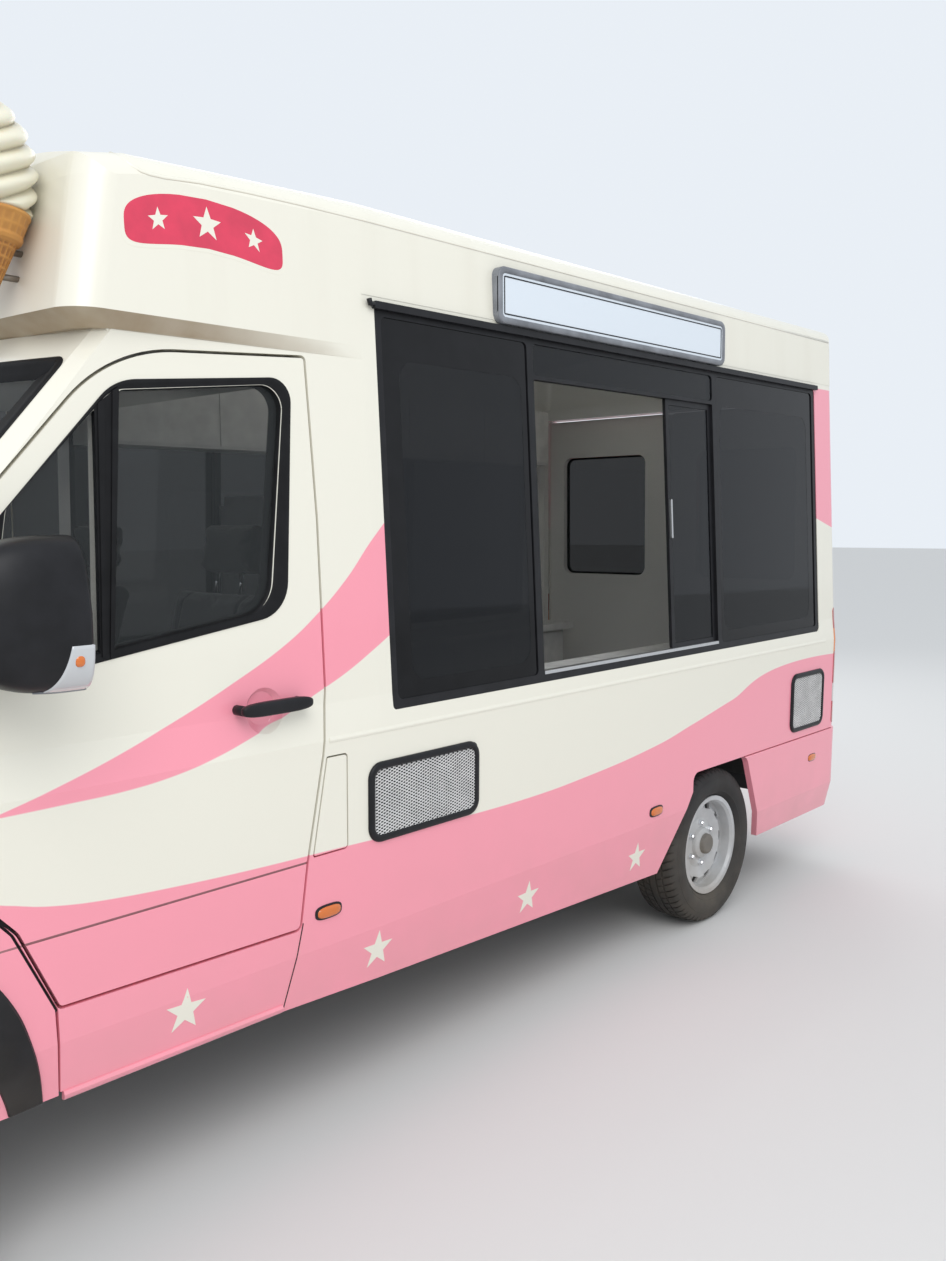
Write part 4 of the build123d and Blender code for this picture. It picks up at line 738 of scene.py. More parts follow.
def wafer_finish():
    """Wafer: toasted orange, browner in patches, with painted shade in the grid's grooves and fine pores."""
    plain = bpy.context.scene.van_colours.wafer
    wafer = Finish("wafer", plain, 0.5, Coat_Weight=0.2, Coat_Roughness=0.3)
    grain = wafer.effect("grain", Scale=240.0)
    patches = wafer.ramp(grain["Mottle"], 0.35, 0.7, 0.0, 0.5)
    toast = wafer.mix(patches, (*plain, 1), (0.40, 0.15, 0.03, 1))
    # Painted shade: darker brown in the grid's grooves
    wafer.feed("Base Color", wafer.mix(wafer.times(valley_share(wafer), 0.7), toast, (0.26, 0.09, 0.02, 1)))
    wafer.bump(grain["Height"], 0.0006, 0.5)
    return wafer.material


def cloth_finish():
    """Seat cloth: dark weave with pale flecks and a soft sheen."""
    cloth = Finish("seat cloth", (0.02, 0.02, 0.024), 0.92, Sheen_Weight=0.3, Sheen_Roughness=0.5)
    weave = cloth.effect("weave", Pitch=0.0024)
    fleck = cloth.ramp(weave["Fleck"], 0.55, 0.75, 0.0, 0.5)
    cloth.feed("Base Color", cloth.mix(fleck, (0.016, 0.016, 0.019, 1), (0.10, 0.10, 0.12, 1)))
    cloth.bump(weave["Height"], 0.0005, 0.6)
    return cloth.material


def tail_lamp_finish():
    """Tail lamp: red with a clear band for reversing and an amber band, ribbed inside."""
    lamp = Finish("tail lamp", (0.45, 0.01, 0.01), 0.12, Coat_Weight=1.0, Coat_Roughness=0.03)
    height = lamp.split(lamp.place)[2]
    color = (0.42, 0.006, 0.008, 1)
    for low, high, band in ((0.860, 0.955, (0.62, 0.58, 0.56, 1)), (1.120, 1.240, (0.75, 0.20, 0.02, 1))):
        color = lamp.mix(lamp.between(height, low, high, 0.001), color, band)
    lamp.feed("Base Color", color)
    lamp.bump(lamp.maths("SINE", lamp.times(height, tau / 0.008)), 0.0008, 0.4)
    return lamp.material


def headlamp_finish():
    """Headlamp: painted reflection and shade of two round bowls in dark rings behind a clear cover, and an
    amber end.
    """
    lamp = Finish("headlamp", (0.45, 0.46, 0.48), 0.12, Coat_Weight=1.0, Coat_Roughness=0.02)
    _, y, z = lamp.split(lamp.place)
    across = lamp.maths("ABSOLUTE", y)
    ribs = lamp.maths("SINE", lamp.times(across, tau / 0.011))
    # Painted shade and highlight of the ribs: lighter and darker across them
    color = lamp.mix(lamp.ramp(ribs, -1.0, 1.0), (0.30, 0.31, 0.33, 1), (0.52, 0.53, 0.55, 1))
    # Bowls: half distance between them, height, radius; rings: share of the radius, shade
    for bowl_y, bowl_z, radius in ((0.612, 0.880, 0.088), (0.772, 0.935, 0.070)):
        side = lamp.maths("POWER", lamp.minus(across, bowl_y), 2.0)
        rise = lamp.maths("POWER", lamp.minus(z, bowl_z), 2.0)
        reach = lamp.maths("DIVIDE", lamp.maths("SQRT", lamp.maths("ADD", side, rise)), radius)
        # Painted reflection and shade: bright at the bowl's rim, darker inwards, and a painted glint of the
        # bulb in the middle
        for limit, shade in ((1.10, 0.05), (1.0, 0.62), (0.62, 0.30), (0.30, 0.08), (0.16, 0.85)):
            color = lamp.mix(lamp.below(reach, limit, 0.03), color, (shade, shade, shade * 1.03, 1))
    color = lamp.mix(lamp.above(across, 0.872), color, (0.62, 0.20, 0.02, 1))
    lamp.feed("Base Color", color)
    lamp.bump(ribs, 0.0006, 0.2)
    return lamp.material


def pod_finish():
    """Gelcoat of the pod: cream with soft stains that run down from the edge, and brown painted shade
    beneath, in patches.
    """
    cream = bpy.context.scene.van_colours.cream
    pod = Finish("pod gelcoat", cream, 0.38, Coat_Weight=0.35, Coat_Roughness=0.12)
    stain = pod.noise(pod.stretched(pod.place, (9.0, 9.0, 0.7)), 1.0, 5.0)
    stained_and_shaded = pod.mix(pod.ramp(stain, 0.5, 0.9, 0.0, 0.10), (*cream, 1), (0.48, 0.42, 0.31, 1))
    # Painted shade: brown in patches on faces that look down, under the pod
    under = pod.ramp(pod.times(pod.split(pod.facing)[2], -1.0), 0.05, 0.75)
    underside_shade = pod.times(under, pod.ramp(stain, 0.3, 0.7, 0.75, 0.95))
    stained_and_shaded = pod.mix(underside_shade, stained_and_shaded, (0.33, 0.23, 0.125, 1))
    inside = pod.effect("inside", Normal=pod.facing)["Inside"]
    pod.feed("Base Color", pod.mix(inside, stained_and_shaded, (*LINING, 1)))
    pod.feed("Roughness", pod.ramp(stain, 0.3, 0.8, 0.32, 0.48))
    return pod.material


def plastic_finish(name, color, roughness, scale=700.0, depth=0.0002, dust=0.25, gloss=0.4):
    """Moulded plastic or rubber with grain, mottling and dust."""
    moulded = Finish(name, color, roughness, Specular_IOR_Level=gloss)
    grain = moulded.effect("grain", Scale=scale)
    moulded.dusty(moulded.shaded(color, grain["Mottle"], 0.75, 1.25), roughness, dust)
    moulded.bump(grain["Height"], depth, 0.5)
    return moulded.material


def metal_finish(name, color, roughness, dust):
    """Metal with a brushed or worn surface and dust."""
    metal = Finish(name, color, roughness, Metallic=1.0)
    brushed = metal.effect("brushed", Roughness=roughness)
    metal.dusty(color, brushed["Roughness"], dust)
    metal.bump(brushed["Height"], 0.0002, 0.25)
    return metal.material


def enamel_finish(name, color, roughness, dust, coat=0.0):
    """Plain paint on steel, mottled and dusty, for the chassis, wheels and cabinets."""
    enamel = Finish(name, color, roughness, Coat_Weight=coat, Coat_Roughness=0.1)
    grain = enamel.effect("grain", Scale=160.0)
    enamel.dusty(enamel.shaded(color, grain["Mottle"], 0.88, 1.08), roughness, dust)
    enamel.bump(grain["Mottle"], 0.0006, 0.2)
    return enamel.material


def glass_finish(name, tint, alpha, gloss, roughness=0.03):
    """Window glass as a thin tinted sheet: part see-through, with a sharp gloss and faint film of dust."""
    pane = Finish(name, tint, roughness, Alpha=alpha, Specular_IOR_Level=gloss)
    film = pane.noise(pane.place, 3.0, 5.0)
    pane.feed("Roughness", pane.ramp(film, 0.4, 0.8, roughness, roughness + 0.05))
    pane.material.surface_render_method = "BLENDED"
    return pane.material


LINING = (0.82, 0.82, 0.79)
CAB_TRIM = (0.045, 0.046, 0.050)


def plain(name, color, roughness, **constants):
    """A finish that is the same all over."""
    return Finish(name, color, roughness, **constants).material


def make_materials():
    """Builds the effect groups once and every finish from them."""
    GROUPS.update(livery=livery_group(), grooves=groove_shade_group(), inside=inside_group(), dust=dust_group(),
                  grain=grain_group(), brushed=brushed_group(), weave=weave_group())
    colours = bpy.context.scene.van_colours
    MATERIALS.update(
        paint=paint_finish("body paint", LINING),
        cab_paint=paint_finish("cab paint", CAB_TRIM),
        pod=pod_finish(),
        black_plastic=plastic_finish("black plastic", (0.012, 0.012, 0.014), 0.40, gloss=0.25),
        rubber=plastic_finish("window rubber", (0.009, 0.009, 0.010), 0.55, 1200.0, 0.0001, gloss=0.18),
        tyre=plastic_finish("tyre rubber", (0.020, 0.020, 0.021), 0.72, 1500.0, 0.0002, 0.25),
        dash=plastic_finish("dash plastic", (0.035, 0.035, 0.038), 0.6, 900.0, 0.0003, 0.0),
        floor_mat=plastic_finish("floor mat", (0.10, 0.10, 0.10), 0.6, 300.0, 0.0006, 0.2),
        grey_rim=plastic_finish("grey rim", (0.20, 0.21, 0.23), 0.4, 700.0, 0.0001, 0.0),
        liner=plastic_finish("arch liner", (0.010, 0.010, 0.010), 0.8, 500.0, 0.0004, 0.8),
        frit=plastic_finish("black glass edge", (0.005, 0.005, 0.006), 0.12, 900.0, 0.00002, 0.0, 0.25),
        wheel=enamel_finish("wheel silver", (0.50, 0.51, 0.52), 0.32, 0.6, 0.4),
        chassis=enamel_finish("chassis black", (0.02, 0.02, 0.02), 0.6, 0.8),
        cast=enamel_finish("cast metal", (0.10, 0.10, 0.10), 0.6, 0.7),
        laminate=enamel_finish("white laminate", (0.78, 0.78, 0.76), 0.35, 0.0, 0.2),
        emblem=enamel_finish("emblem red", (0.70, 0.035, 0.09), 0.35, 0.0, 0.4),
        mesh=enamel_finish("vent mesh", (0.72, 0.71, 0.70), 0.35, 0.2),
        steel=metal_finish("stainless steel", (0.60, 0.60, 0.60), 0.3, 0.0),
        dull_steel=metal_finish("exhaust steel", (0.30, 0.27, 0.24), 0.5, 0.5),
        clear_glass=glass_finish("clear glass", (0.02, 0.024, 0.024), 0.28, 0.6),
        dark_glass=glass_finish("dark glass", (0.004, 0.005, 0.007), 0.80, 0.30),
        red_lens=tail_lamp_finish(),
        headlamp=headlamp_finish(),
        wafer=wafer_finish(),
        swirl=swirl_finish(),
        cloth=cloth_finish(),
        clear_lens=plain("clear lens", (0.55, 0.56, 0.57), 0.10, Coat_Weight=1.0, Coat_Roughness=0.02),
        amber=plain("amber lens", colours.amber, 0.15, Coat_Weight=1.0, Coat_Roughness=0.03),
        sign=plain("sign face", (0.72, 0.78, 0.84), 0.25, Coat_Weight=0.8, Coat_Roughness=0.05),
        white_plate=plain("white plate", (0.72, 0.72, 0.70), 0.25, Coat_Weight=0.5),
        yellow_plate=plain("yellow plate", (0.78, 0.55, 0.06), 0.25, Coat_Weight=0.5),
        mirror=plain("mirror glass", (0.85, 0.87, 0.88), 0.02, Metallic=1.0),
        chrome=plain("bright metal", (0.75, 0.76, 0.78), 0.12, Metallic=1.0),
        star=plain("star vinyl", colours.cream, 0.3),
        lamp=plain("ceiling lamp", (0.9, 0.9, 0.88), 0.3, Emission_Color=(1.0, 0.97, 0.90, 1.0),
                   Emission_Strength=6.0),
    )


NODE_FINISH = {
    "paint": ("side_left", "side_right", "rear_frame", "rear_door_left", "rear_door_right"),
    "cab_paint": (
        "cab_shell", "front_wings", "bonnet", "side_skirts", "front_bumper", "rear_bumper", "door_left",
        "door_right", "fuel_flap",
    ),
    "pod": ("roof_pod",),
    "black_plastic": (
        "grille", "door_left_fittings", "door_right_fittings", "hatch_frame", "hatch_sash", "vents", "wipers",
    ),
    "clear_glass": ("windscreen", "door_left_glass", "door_right_glass"),
    "dark_glass": ("hatch_glass", "rear_door_left_glass", "rear_door_right_glass"),
    "headlamp": ("headlamps",),
    "red_lens": ("tail_lamps",),
    "tyre": tuple(f"tyre_{end}_{side}" for end in ("front", "rear") for side in ("left", "right")),
    "wheel": tuple(f"rim_{end}_{side}" for end in ("front", "rear") for side in ("left", "right")),
    "chassis": ("chassis_frame", "front_subframe", "rear_axle", "fuel_tank"),
    "cast": ("engine_block", "driveline", "knuckle_left", "knuckle_right"),
    "dull_steel": ("exhaust",),
    "floor_mat": ("floor",),
    "grey_rim": ("sign_panels",),
    "wafer": ("cone_wafers",),
    "swirl": ("cone_swirls",),
    "laminate": ("counters",),
    "steel": ("soft_serve_machine",),
    "dash": ("dashboard", "seat_bases", "steering_wheel"),
    "cloth": ("seat_pads",),
}


class VAN_OT_finishes(bpy.types.Operator):
    """Builds the materials and gives every CAD node its finish"""

    bl_idname = "van.finishes"
    bl_label = "Finishes"

    def execute(self, context):
        make_materials()
        for finish, names in NODE_FINISH.items():
            for name in names:
                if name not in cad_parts:
                    continue
                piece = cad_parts[name]
                if not piece.material_slots:
                    piece.data.materials.append(MATERIALS[finish])
                for held in piece.material_slots:
                    held.material = MATERIALS[finish]
        return {"FINISHED"}


class VAN_OT_window_rubber(bpy.types.Operator):
    """Rubber round the door windows, with the ribbed bar between them"""

    bl_idname = "van.window_rubber"
    bl_label = "Window rubber"

    # Outer edge of the rubber round both windows, and the edge of the opening: x, z, corner radius
    OUTER = ((0.664, 1.559, 0.110), (0.606, 2.2115, 0.060), (1.134, 2.162, 0.150), (1.452, 1.818, 0.040),
             (1.528, 1.432, 0.030))
    INNER = ((0.720, 1.572, 0.105), (0.634, 2.190, 0.060), (1.143, 2.136, 0.090), (1.424, 1.848, 0.040),
             (1.500, 1.460, 0.030))
    BAR = ((1.190, 1.484), (1.224, 1.490), (1.192, 2.092), (1.124, 2.146))
    # Share of the way to the opening, and lift: a lip on the paint, a flat back, a lip down to the glass
    SECTION = ((0, -0.07), (0, 0.05), (0.08, 0.11), (0.45, 0.14), (0.62, 0.08), (0.90, 0.07), (1.03, -0.10),
               (1.12, -0.37), (1.12, -0.80), (1.03, -1.90), (0.96, -1.90), (0.90, -0.45))
    RIB_SHARES = (0.02, 0.62)

    def execute(self, context):
        width = context.scene.van_sizes.seal_width
        rows = np.array(self.SECTION) * (1, width)
        low_rear, low_front, high_front, high_rear = np.array(self.BAR)
        outlines = [(self.BAR, 0.08, 0.5)]
        for share in self.RIB_SHARES:
            foot = low_rear + (low_front - low_rear) * share
            head = high_rear + (high_front - high_rear) * share
            outlines.append(((foot, foot + (0.010, 0.0), head + (0.018, -0.012), head), 0.20, 0.2))
        for side, word in SIDES:
            parts = [ring_between(self.OUTER, self.INNER, rows, side)]
            for outline, lift, depth in outlines:
                corners = [(*spot, 0) for spot in outline]
                parts.append(plate_on_side(corners, side, lift * width, depth * width))
            make(f"window_rubber_{word}", parts, "rubber", f"door_{word}", edge=40)
        return {"FINISHED"}


class VAN_OT_screen_rubber(bpy.types.Operator):
    """Rubber round the windscreen"""

    bl_idname = "van.screen_rubber"
    bl_label = "Screen rubber"

    OPENING = ((0.864, 1.345, 0.040), (0.848, 2.205, 0.020), (-0.848, 2.205, 0.020), (-0.864, 1.345, 0.040))
    # Distance towards the middle of the screen, and lift
    SECTION = ((-0.011, -0.002), (-0.011, 0.002), (-0.004, 0.004), (0.012, 0.002), (0.020, -0.008),
               (0.052, -0.0112), (0.052, -0.0125), (-0.002, -0.0125))

    def execute(self, context):
        flat = fill_in(rounded_outline(self.OPENING), 0.04)
        y, z = flat.T
        path = np.stack([screen_x(y, z), y, z], axis=-1)
        slope_y, slope_z = slopes(screen_x, y, z)
        normal = unit(np.stack([np.ones(len(y)), -slope_y, -slope_z], axis=-1))
        rubber = looped(carried(np.array(self.SECTION) * (-sense(flat), 1), path, normal))
        make("screen_rubber", [rubber], "rubber")
        return {"FINISHED"}


class VAN_OT_tyres(bpy.types.Operator):
    """Tyres with four ribs, slanting shoulder grooves and ringed sidewalls"""

    bl_idname = "van.tyres"
    bl_label = "Tyres"

    # Half section: distance out from the middle, radius, share of the cross grooves' depth
    SECTION = (
        (0.000, 0.3480, 0.0), (0.013, 0.3480, 0.0), (0.0140, 0.0, 0.0), (0.0215, 0.0, 0.0),
        (0.0225, 0.3478, 0.6), (0.0470, 0.3472, 0.6), (0.0480, 0.0, 0.0), (0.0555, 0.0, 0.0),
        (0.0565, 0.3466, 1.0), (0.0760, 0.3450, 1.0), (0.0860, 0.3420, 1.0), (0.0940, 0.3370, 0.9),
        (0.0990, 0.3300, 0.6), (0.1035, 0.3220, 0.0), (0.1080, 0.3130, 0.0), (0.1100, 0.3060, 0.0),
        (0.1115, 0.3050, 0.0), (0.1145, 0.2950, 0.0), (0.1160, 0.2840, 0.0), (0.1155, 0.2700, 0.0),
        (0.1125, 0.2560, 0.0), (0.1090, 0.2470, 0.0), (0.1095, 0.2440, 0.0), (0.1045, 0.2390, 0.0),
        (0.0960, 0.2310, 0.0), (0.0860, 0.2240, 0.0), (0.0800, 0.2040, 0.0),
    )
    PITCHES = 62
    # Places within one pitch where a cross groove starts, falls, rises and ends
    CUTS = (0.0, 0.03, 0.20, 0.23, 0.50, 0.76)
    CUT_DEPTH = (0.0, 1.0, 1.0, 0.0, 0.0, 0.0)
    # Depth of a cross groove as a share of a ring groove's, and its turn for each metre outwards
    CROSS_SHARE = 0.9
    SLANT = 1.1

    def execute(self, context):
        depth = context.scene.van_sizes.tread_depth
        half = np.array(self.SECTION)
        half[half[:, 1] == 0, 1] = TYRE_RADIUS - depth
        section = np.concatenate([half[::-1] * (-1, 1, 1), half[1:]])
        out, reach, cross = section.T[:, :, None]
        share = (np.arange(self.PITCHES)[:, None] + np.array(self.CUTS)).ravel() / self.PITCHES
        radius = reach - depth * self.CROSS_SHARE * cross * np.tile(self.CUT_DEPTH, self.PITCHES)
        angle = tau * share + self.SLANT * np.abs(out)
        for name, axle_x, side in WHEELS:
            x = axle_x + radius * np.cos(angle)
            y = side * (HALF_TRACK + out) + 0 * x
            z = TYRE_RADIUS + radius * np.sin(angle)
            tread = looped(np.stack([x, y, z], axis=-1))
            make(f"tyre_tread_{name}", [tread], "tyre", f"wheel_{name}", edge=30,
                 replaced=(f"tyre_{name}",))
        return {"FINISHED"}


class VAN_OT_cones(bpy.types.Operator):
    """Two giant cones: ribbed wafers on bolts, and fluted swirls that wind up to a curl"""

    bl_idname = "van.cones"
    bl_label = "Cones"

    CONE_X = 1.376
    CONE_Y = 0.690
    WAFER_TOP = 2.549
    # Wafer: height, radius, depth of its grid
    WAFER = (
        (2.300, 0.000, 0.0), (2.300, 0.020, 0.0), (2.303, 0.027, 0.0), (2.310, 0.030, 1.0),
        (2.474, 0.104, 1.0), (2.479, 0.108, 0.0), (2.483, 0.117, 0.0), (2.491, 0.121, 0.0),
        (2.499, 0.121, 0.4), (2.537, 0.137, 0.4), (2.543, 0.141, 0.0), (2.549, 0.140, 0.0),
        (2.551, 0.133, 0.0), (2.551, 0.000, 0.0),
    )
    # Its ribs: how many upright ones, the distance between level ones, their height and sharpness
    UPRIGHT_RIBS = 16
    LEVEL_PITCH = 0.024
    RIB = 0.0035
    SHARPNESS = 8
    # Swirl: height above the wafer, radius over the flutes
    SWIRL = ((-0.004, 0.0), (-0.004, 0.125), (0.006, 0.146), (0.030, 0.154), (0.060, 0.159), (0.107, 0.163),
             (0.152, 0.157), (0.183, 0.147), (0.213, 0.132), (0.235, 0.115), (0.257, 0.093), (0.280, 0.069),
             (0.303, 0.046), (0.325, 0.026), (0.340, 0.011), (0.345, 0.0))
    TURN = radians(300)
    DEPTH = 0.15
    ROUNDNESS = 0.75
    # Bolts: heights, both ends, radius
    BOLTS = (2.412, 2.474)
    BOLT_HEAD_X = 1.356
    BOLT_END_X = 1.215
    BOLT_RADIUS = 0.008

    def wafer(self, side):
        """Radius read off the profile, plus ribs: a cosine of the angle and one of the height, sharpened."""
        rows = np.array(self.WAFER)
        length = distances(rows[:, :2])
        at = np.sort(np.concatenate([length, np.linspace(0, length[-1], 150)]))
        z, radius, grid = (np.interp(at, length, column) for column in rows.T)
        angle = np.linspace(0, tau, 240, endpoint=False)
        upright = np.cos(self.UPRIGHT_RIBS * angle) ** self.SHARPNESS
        level = np.cos(pi * (z - self.WAFER[0][0]) / self.LEVEL_PITCH)[:, None] ** self.SHARPNESS
        groove = grid[:, None] * (1 - np.maximum(upright, level))
        reach = np.maximum(radius[:, None] - self.RIB * groove, 0)
        return self.stand(reach, angle, z, side), groove

    def swirl(self, side):
        """Radius read off the profile, times 1 less a share that grows towards the valleys between flutes;
        the flutes' angle grows with height."""
        flutes = bpy.context.scene.van_sizes.flutes
        rows = np.array(self.SWIRL)
        length = distances(rows)
        height, radius = (np.interp(np.linspace(0, length[-1], 120), length, column) for column in rows.T)
        angle = np.linspace(0, tau, 320, endpoint=False)
        turn = self.TURN * np.clip(height, 0, 1) / self.SWIRL[-1][0]
        lobe = np.abs(np.sin(flutes / 2 * (angle - turn[:, None]))) ** self.ROUNDNESS
        reach = radius[:, None] * (1 - self.DEPTH + self.DEPTH * lobe)
        return self.stand(reach, angle, self.WAFER_TOP + height, side), 1 - lobe

    def stand(self, reach, angle, z, side):
        """Rings of points round the cone's own upright axis, and their faces."""
        x = self.CONE_X + reach * np.cos(angle)
        y = side * self.CONE_Y + reach * np.sin(angle)
        points = np.stack([x, y, z[:, None] + 0 * x], axis=-1)
        return points.reshape(-1, 3), grid_faces(len(z), len(angle), False, True)

    def execute(self, context):
        rows = (("ribbed_wafers", self.wafer, "wafer"), ("fluted_swirls", self.swirl, "swirl"))
        for name, shape, finish in rows:
            parts, valleys = zip(*(shape(side) for side in BOTH))
            valley = np.concatenate([depth.ravel() for depth in valleys])
            make(name, parts, finish, replaced=(f"cone_{finish}s",), valley=valley)
        bolts = []
        for side in BOTH:
            y = side * self.CONE_Y
            for z in self.BOLTS:
                rod = [(self.BOLT_HEAD_X, y, z), (self.BOLT_END_X, y, z)]
                bolts.append(tube(rod, self.BOLT_RADIUS, 12))
        make("cone_bolts", bolts, "dull_steel")
        return {"FINISHED"}


class VAN_OT_side_vents(bpy.types.Operator):
    """Expanded mesh and rounded black rims on the vents"""

    bl_idname = "van.side_vents"
    bl_label = "Side vents"

    VENTS = ((-0.092, 0.402, 0.842, 1.090), (-2.743, -2.384, 0.757, 1.048))
    CORNER = 0.050
    RIM = ((0.0, -0.002), (0.0, 0.004), (0.004, 0.009), (0.015, 0.011), (0.022, 0.008), (0.024, 0.001),
           (0.024, -0.004), (0.010, -0.006))
    # Strands of the mesh: half width, lift, distance from the vent's edge, and pitch as a share of the length
    STRAND = 0.0019
    STRAND_LIFT = 0.0035
    INSET = 0.021
    PITCH_SHARE = 0.24
    # Plate behind the mesh: corner radius, distance from the vent's edge, lift, thickness
    BACK_CORNER = 0.038
    BACK_INSET = 0.012
    BACK_LIFT = 0.0012
    BACK_DEPTH = 0.004

    def strands(self, vent, side):
        """Zigzags side by side: height = middle of the row + a triangle wave, and every other row is its
        mirror image, so that they meet in diamonds. Each has a flat four-sided section."""
        cell = bpy.context.scene.van_sizes.vent_cell
        low_x, high_x, low_z, high_z = np.add(vent, (self.INSET, -self.INSET, self.INSET, -self.INSET))
        columns = int(round((high_x - low_x) / (cell / 2)))
        rows = int(round((high_z - low_z) / (cell * self.PITCH_SHARE)))
        pitch = (high_z - low_z) / rows
        middle = low_z + pitch * (np.arange(rows) + 0.5)
        wave = np.where(np.arange(columns + 1) % 2 == 0, 0.5, -0.5) * pitch
        sign = np.where(np.arange(rows) % 2 == 0, 1, -1)
        height = middle[:, None] + sign[:, None] * wave
        rise, lift = (np.array(((-1, 0), (0, 1), (1, 0), (0, -1))) * (self.STRAND, self.STRAND * 1.3)).T
        z = height[:, :, None] + rise
        x = np.linspace(low_x, high_x, columns + 1)[None, :, None] + 0 * z
        points = on_side(x, z, side, self.STRAND_LIFT + lift + 0 * z)
        last = 4 * columns
        caps = ((0, 1, 2, 3), (last, last + 3, last + 2, last + 1))
        strand = np.concatenate([grid_faces(columns + 1, 4, False, True), caps])
        faces = (np.arange(rows)[:, None, None] * (4 * (columns + 1)) + strand).reshape(-1, 4)
        return points.reshape(-1, 3), faces

    def execute(self, context):
        rims, nets, backs = [], [], []
        for vent in self.VENTS:
            for side in BOTH:
                rims.append(ring_on_side(box_corners(vent, self.CORNER), self.RIM, side, 0.08))
                nets.append(self.strands(vent, side))
                back = box_corners(vent, self.BACK_CORNER, -self.BACK_INSET)
                backs.append(plate_on_side(back, side, self.BACK_LIFT, self.BACK_DEPTH, 6, 0.03))
        make("vent_rims", rims, "black_plastic")
        make("vent_net", nets, "mesh", smooth=False)
        make("vent_backs", backs, "liner", smooth=False)
        return {"FINISHED"}


class VAN_OT_signs(bpy.types.Operator):
    """Blank sign faces in rounded grey rims"""

    bl_idname = "van.signs"
    bl_label = "Signs"

    SIGN = (-1.755, -0.252, 2.464, 2.650)
    CORNER = 0.036
    FACE_Y = 0.956
    FACE_CORNER = 0.024
    FACE_INSET = 0.018
    # Face from the middle of its back out to its edge and over its front: share of the way, lift
    FACE = ((0.02, -0.006), (0.5, -0.006), (1.0, -0.006), (1.0, 0.0006), (0.5, 0.0014), (0.02, 0.0016))
    RIM = ((0.0, -0.004), (0.0, 0.001), (0.004, 0.005), (0.016, 0.006), (0.021, 0.003), (0.022, -0.004))
    LINE = ((0.030, -0.004), (0.030, 0.0022), (0.034, 0.0022), (0.034, -0.004))

    def ring(self, section, side):
        """The section carried round the sign's outline in its own upright plane."""
        outline = fill_in(rounded_outline(box_corners(self.SIGN, self.CORNER), 12), 0.2)
        path = np.stack([outline[:, 0], np.full(len(outline), side * self.FACE_Y), outline[:, 1]], axis=-1)
        return looped(carried(np.array(section) * (side, 1), path, (0.0, side, 0.0)))

    def face(self, side):
        """A shallow bowed plate: its lift falls off about with the square of the distance from its middle."""
        corners = box_corners(self.SIGN, self.FACE_CORNER, -self.FACE_INSET)
        shares, lifts = np.array(self.FACE).T
        x, z = np.moveaxis(spread_out(fill_in(rounded_outline(corners, 12), 0.1), shares), -1, 0)
        return capped(np.stack([x, side * (self.FACE_Y + lifts[:, None]) + 0 * x, z], axis=-1))

    def execute(self, context):
        make("sign_rims", [self.ring(self.RIM, side) for side in BOTH], "grey_rim")
        make("sign_lines", [self.ring(self.LINE, side) for side in BOTH], "black_plastic")
        make("sign_faces", [self.face(side) for side in BOTH], "sign", smooth=False)
        return {"FINISHED"}


class VAN_OT_stars(bpy.types.Operator):
    """Five-pointed stars on both skirts"""

    bl_idname = "van.stars"
    bl_label = "Stars"

    # Centre x and z, and turn in degrees
    STARS = ((1.037, 0.538, 4), (0.359, 0.501, 2), (-0.378, 0.468, 0), (-1.079, 0.447, 0))
    INNER = 0.40

    def execute(self, context):
        size = context.scene.van_sizes.star_size
        parts = []
        for x, z, turn in self.STARS:
            for side in BOTH:
                corners = np.array((x, z)) + star(self.INNER, radians(turn)) * (side * size, size)
                parts.append(plate_on_side([(*spot, 0) for spot in corners], side, 0.0009, 0.0018, 2, 0.03))
        make("skirt_stars", parts, "star", smooth=False)
        return {"FINISHED"}


class VAN_OT_side_lamps(bpy.types.Operator):
    """Amber oval lamps low on both sides, each in a black bezel"""

    bl_idname = "van.side_lamps"
    bl_label = "Side lamps"

    LAMPS = ((0.558, 0.680), (-1.195, 0.617), (-2.640, 0.599))
    # Name, half sizes, power of the rounding, lift, finish and slot
    PARTS = (("amber_lenses", (0.043, 0.010, 0.017), 0.70, 0.002, "amber", "red_lens"),
             ("amber_bezels", (0.050, 0.006, 0.022), 0.65, 0.000, "black_plastic", "black_plastic"))

    def execute(self, context):
        for name, half, power, lift, finish, slot in self.PARTS:
            points, faces = pillow((0, 0, 0), half, power, power, 40, 13)
            parts = []
            for x, z in self.LAMPS:
                for side in BOTH:
                    spots = on_side(x + points[:, 0], z + points[:, 2], side, points[:, 1] + lift)
                    parts.append((spots, faces))
            make(name, parts, finish)
        return {"FINISHED"}


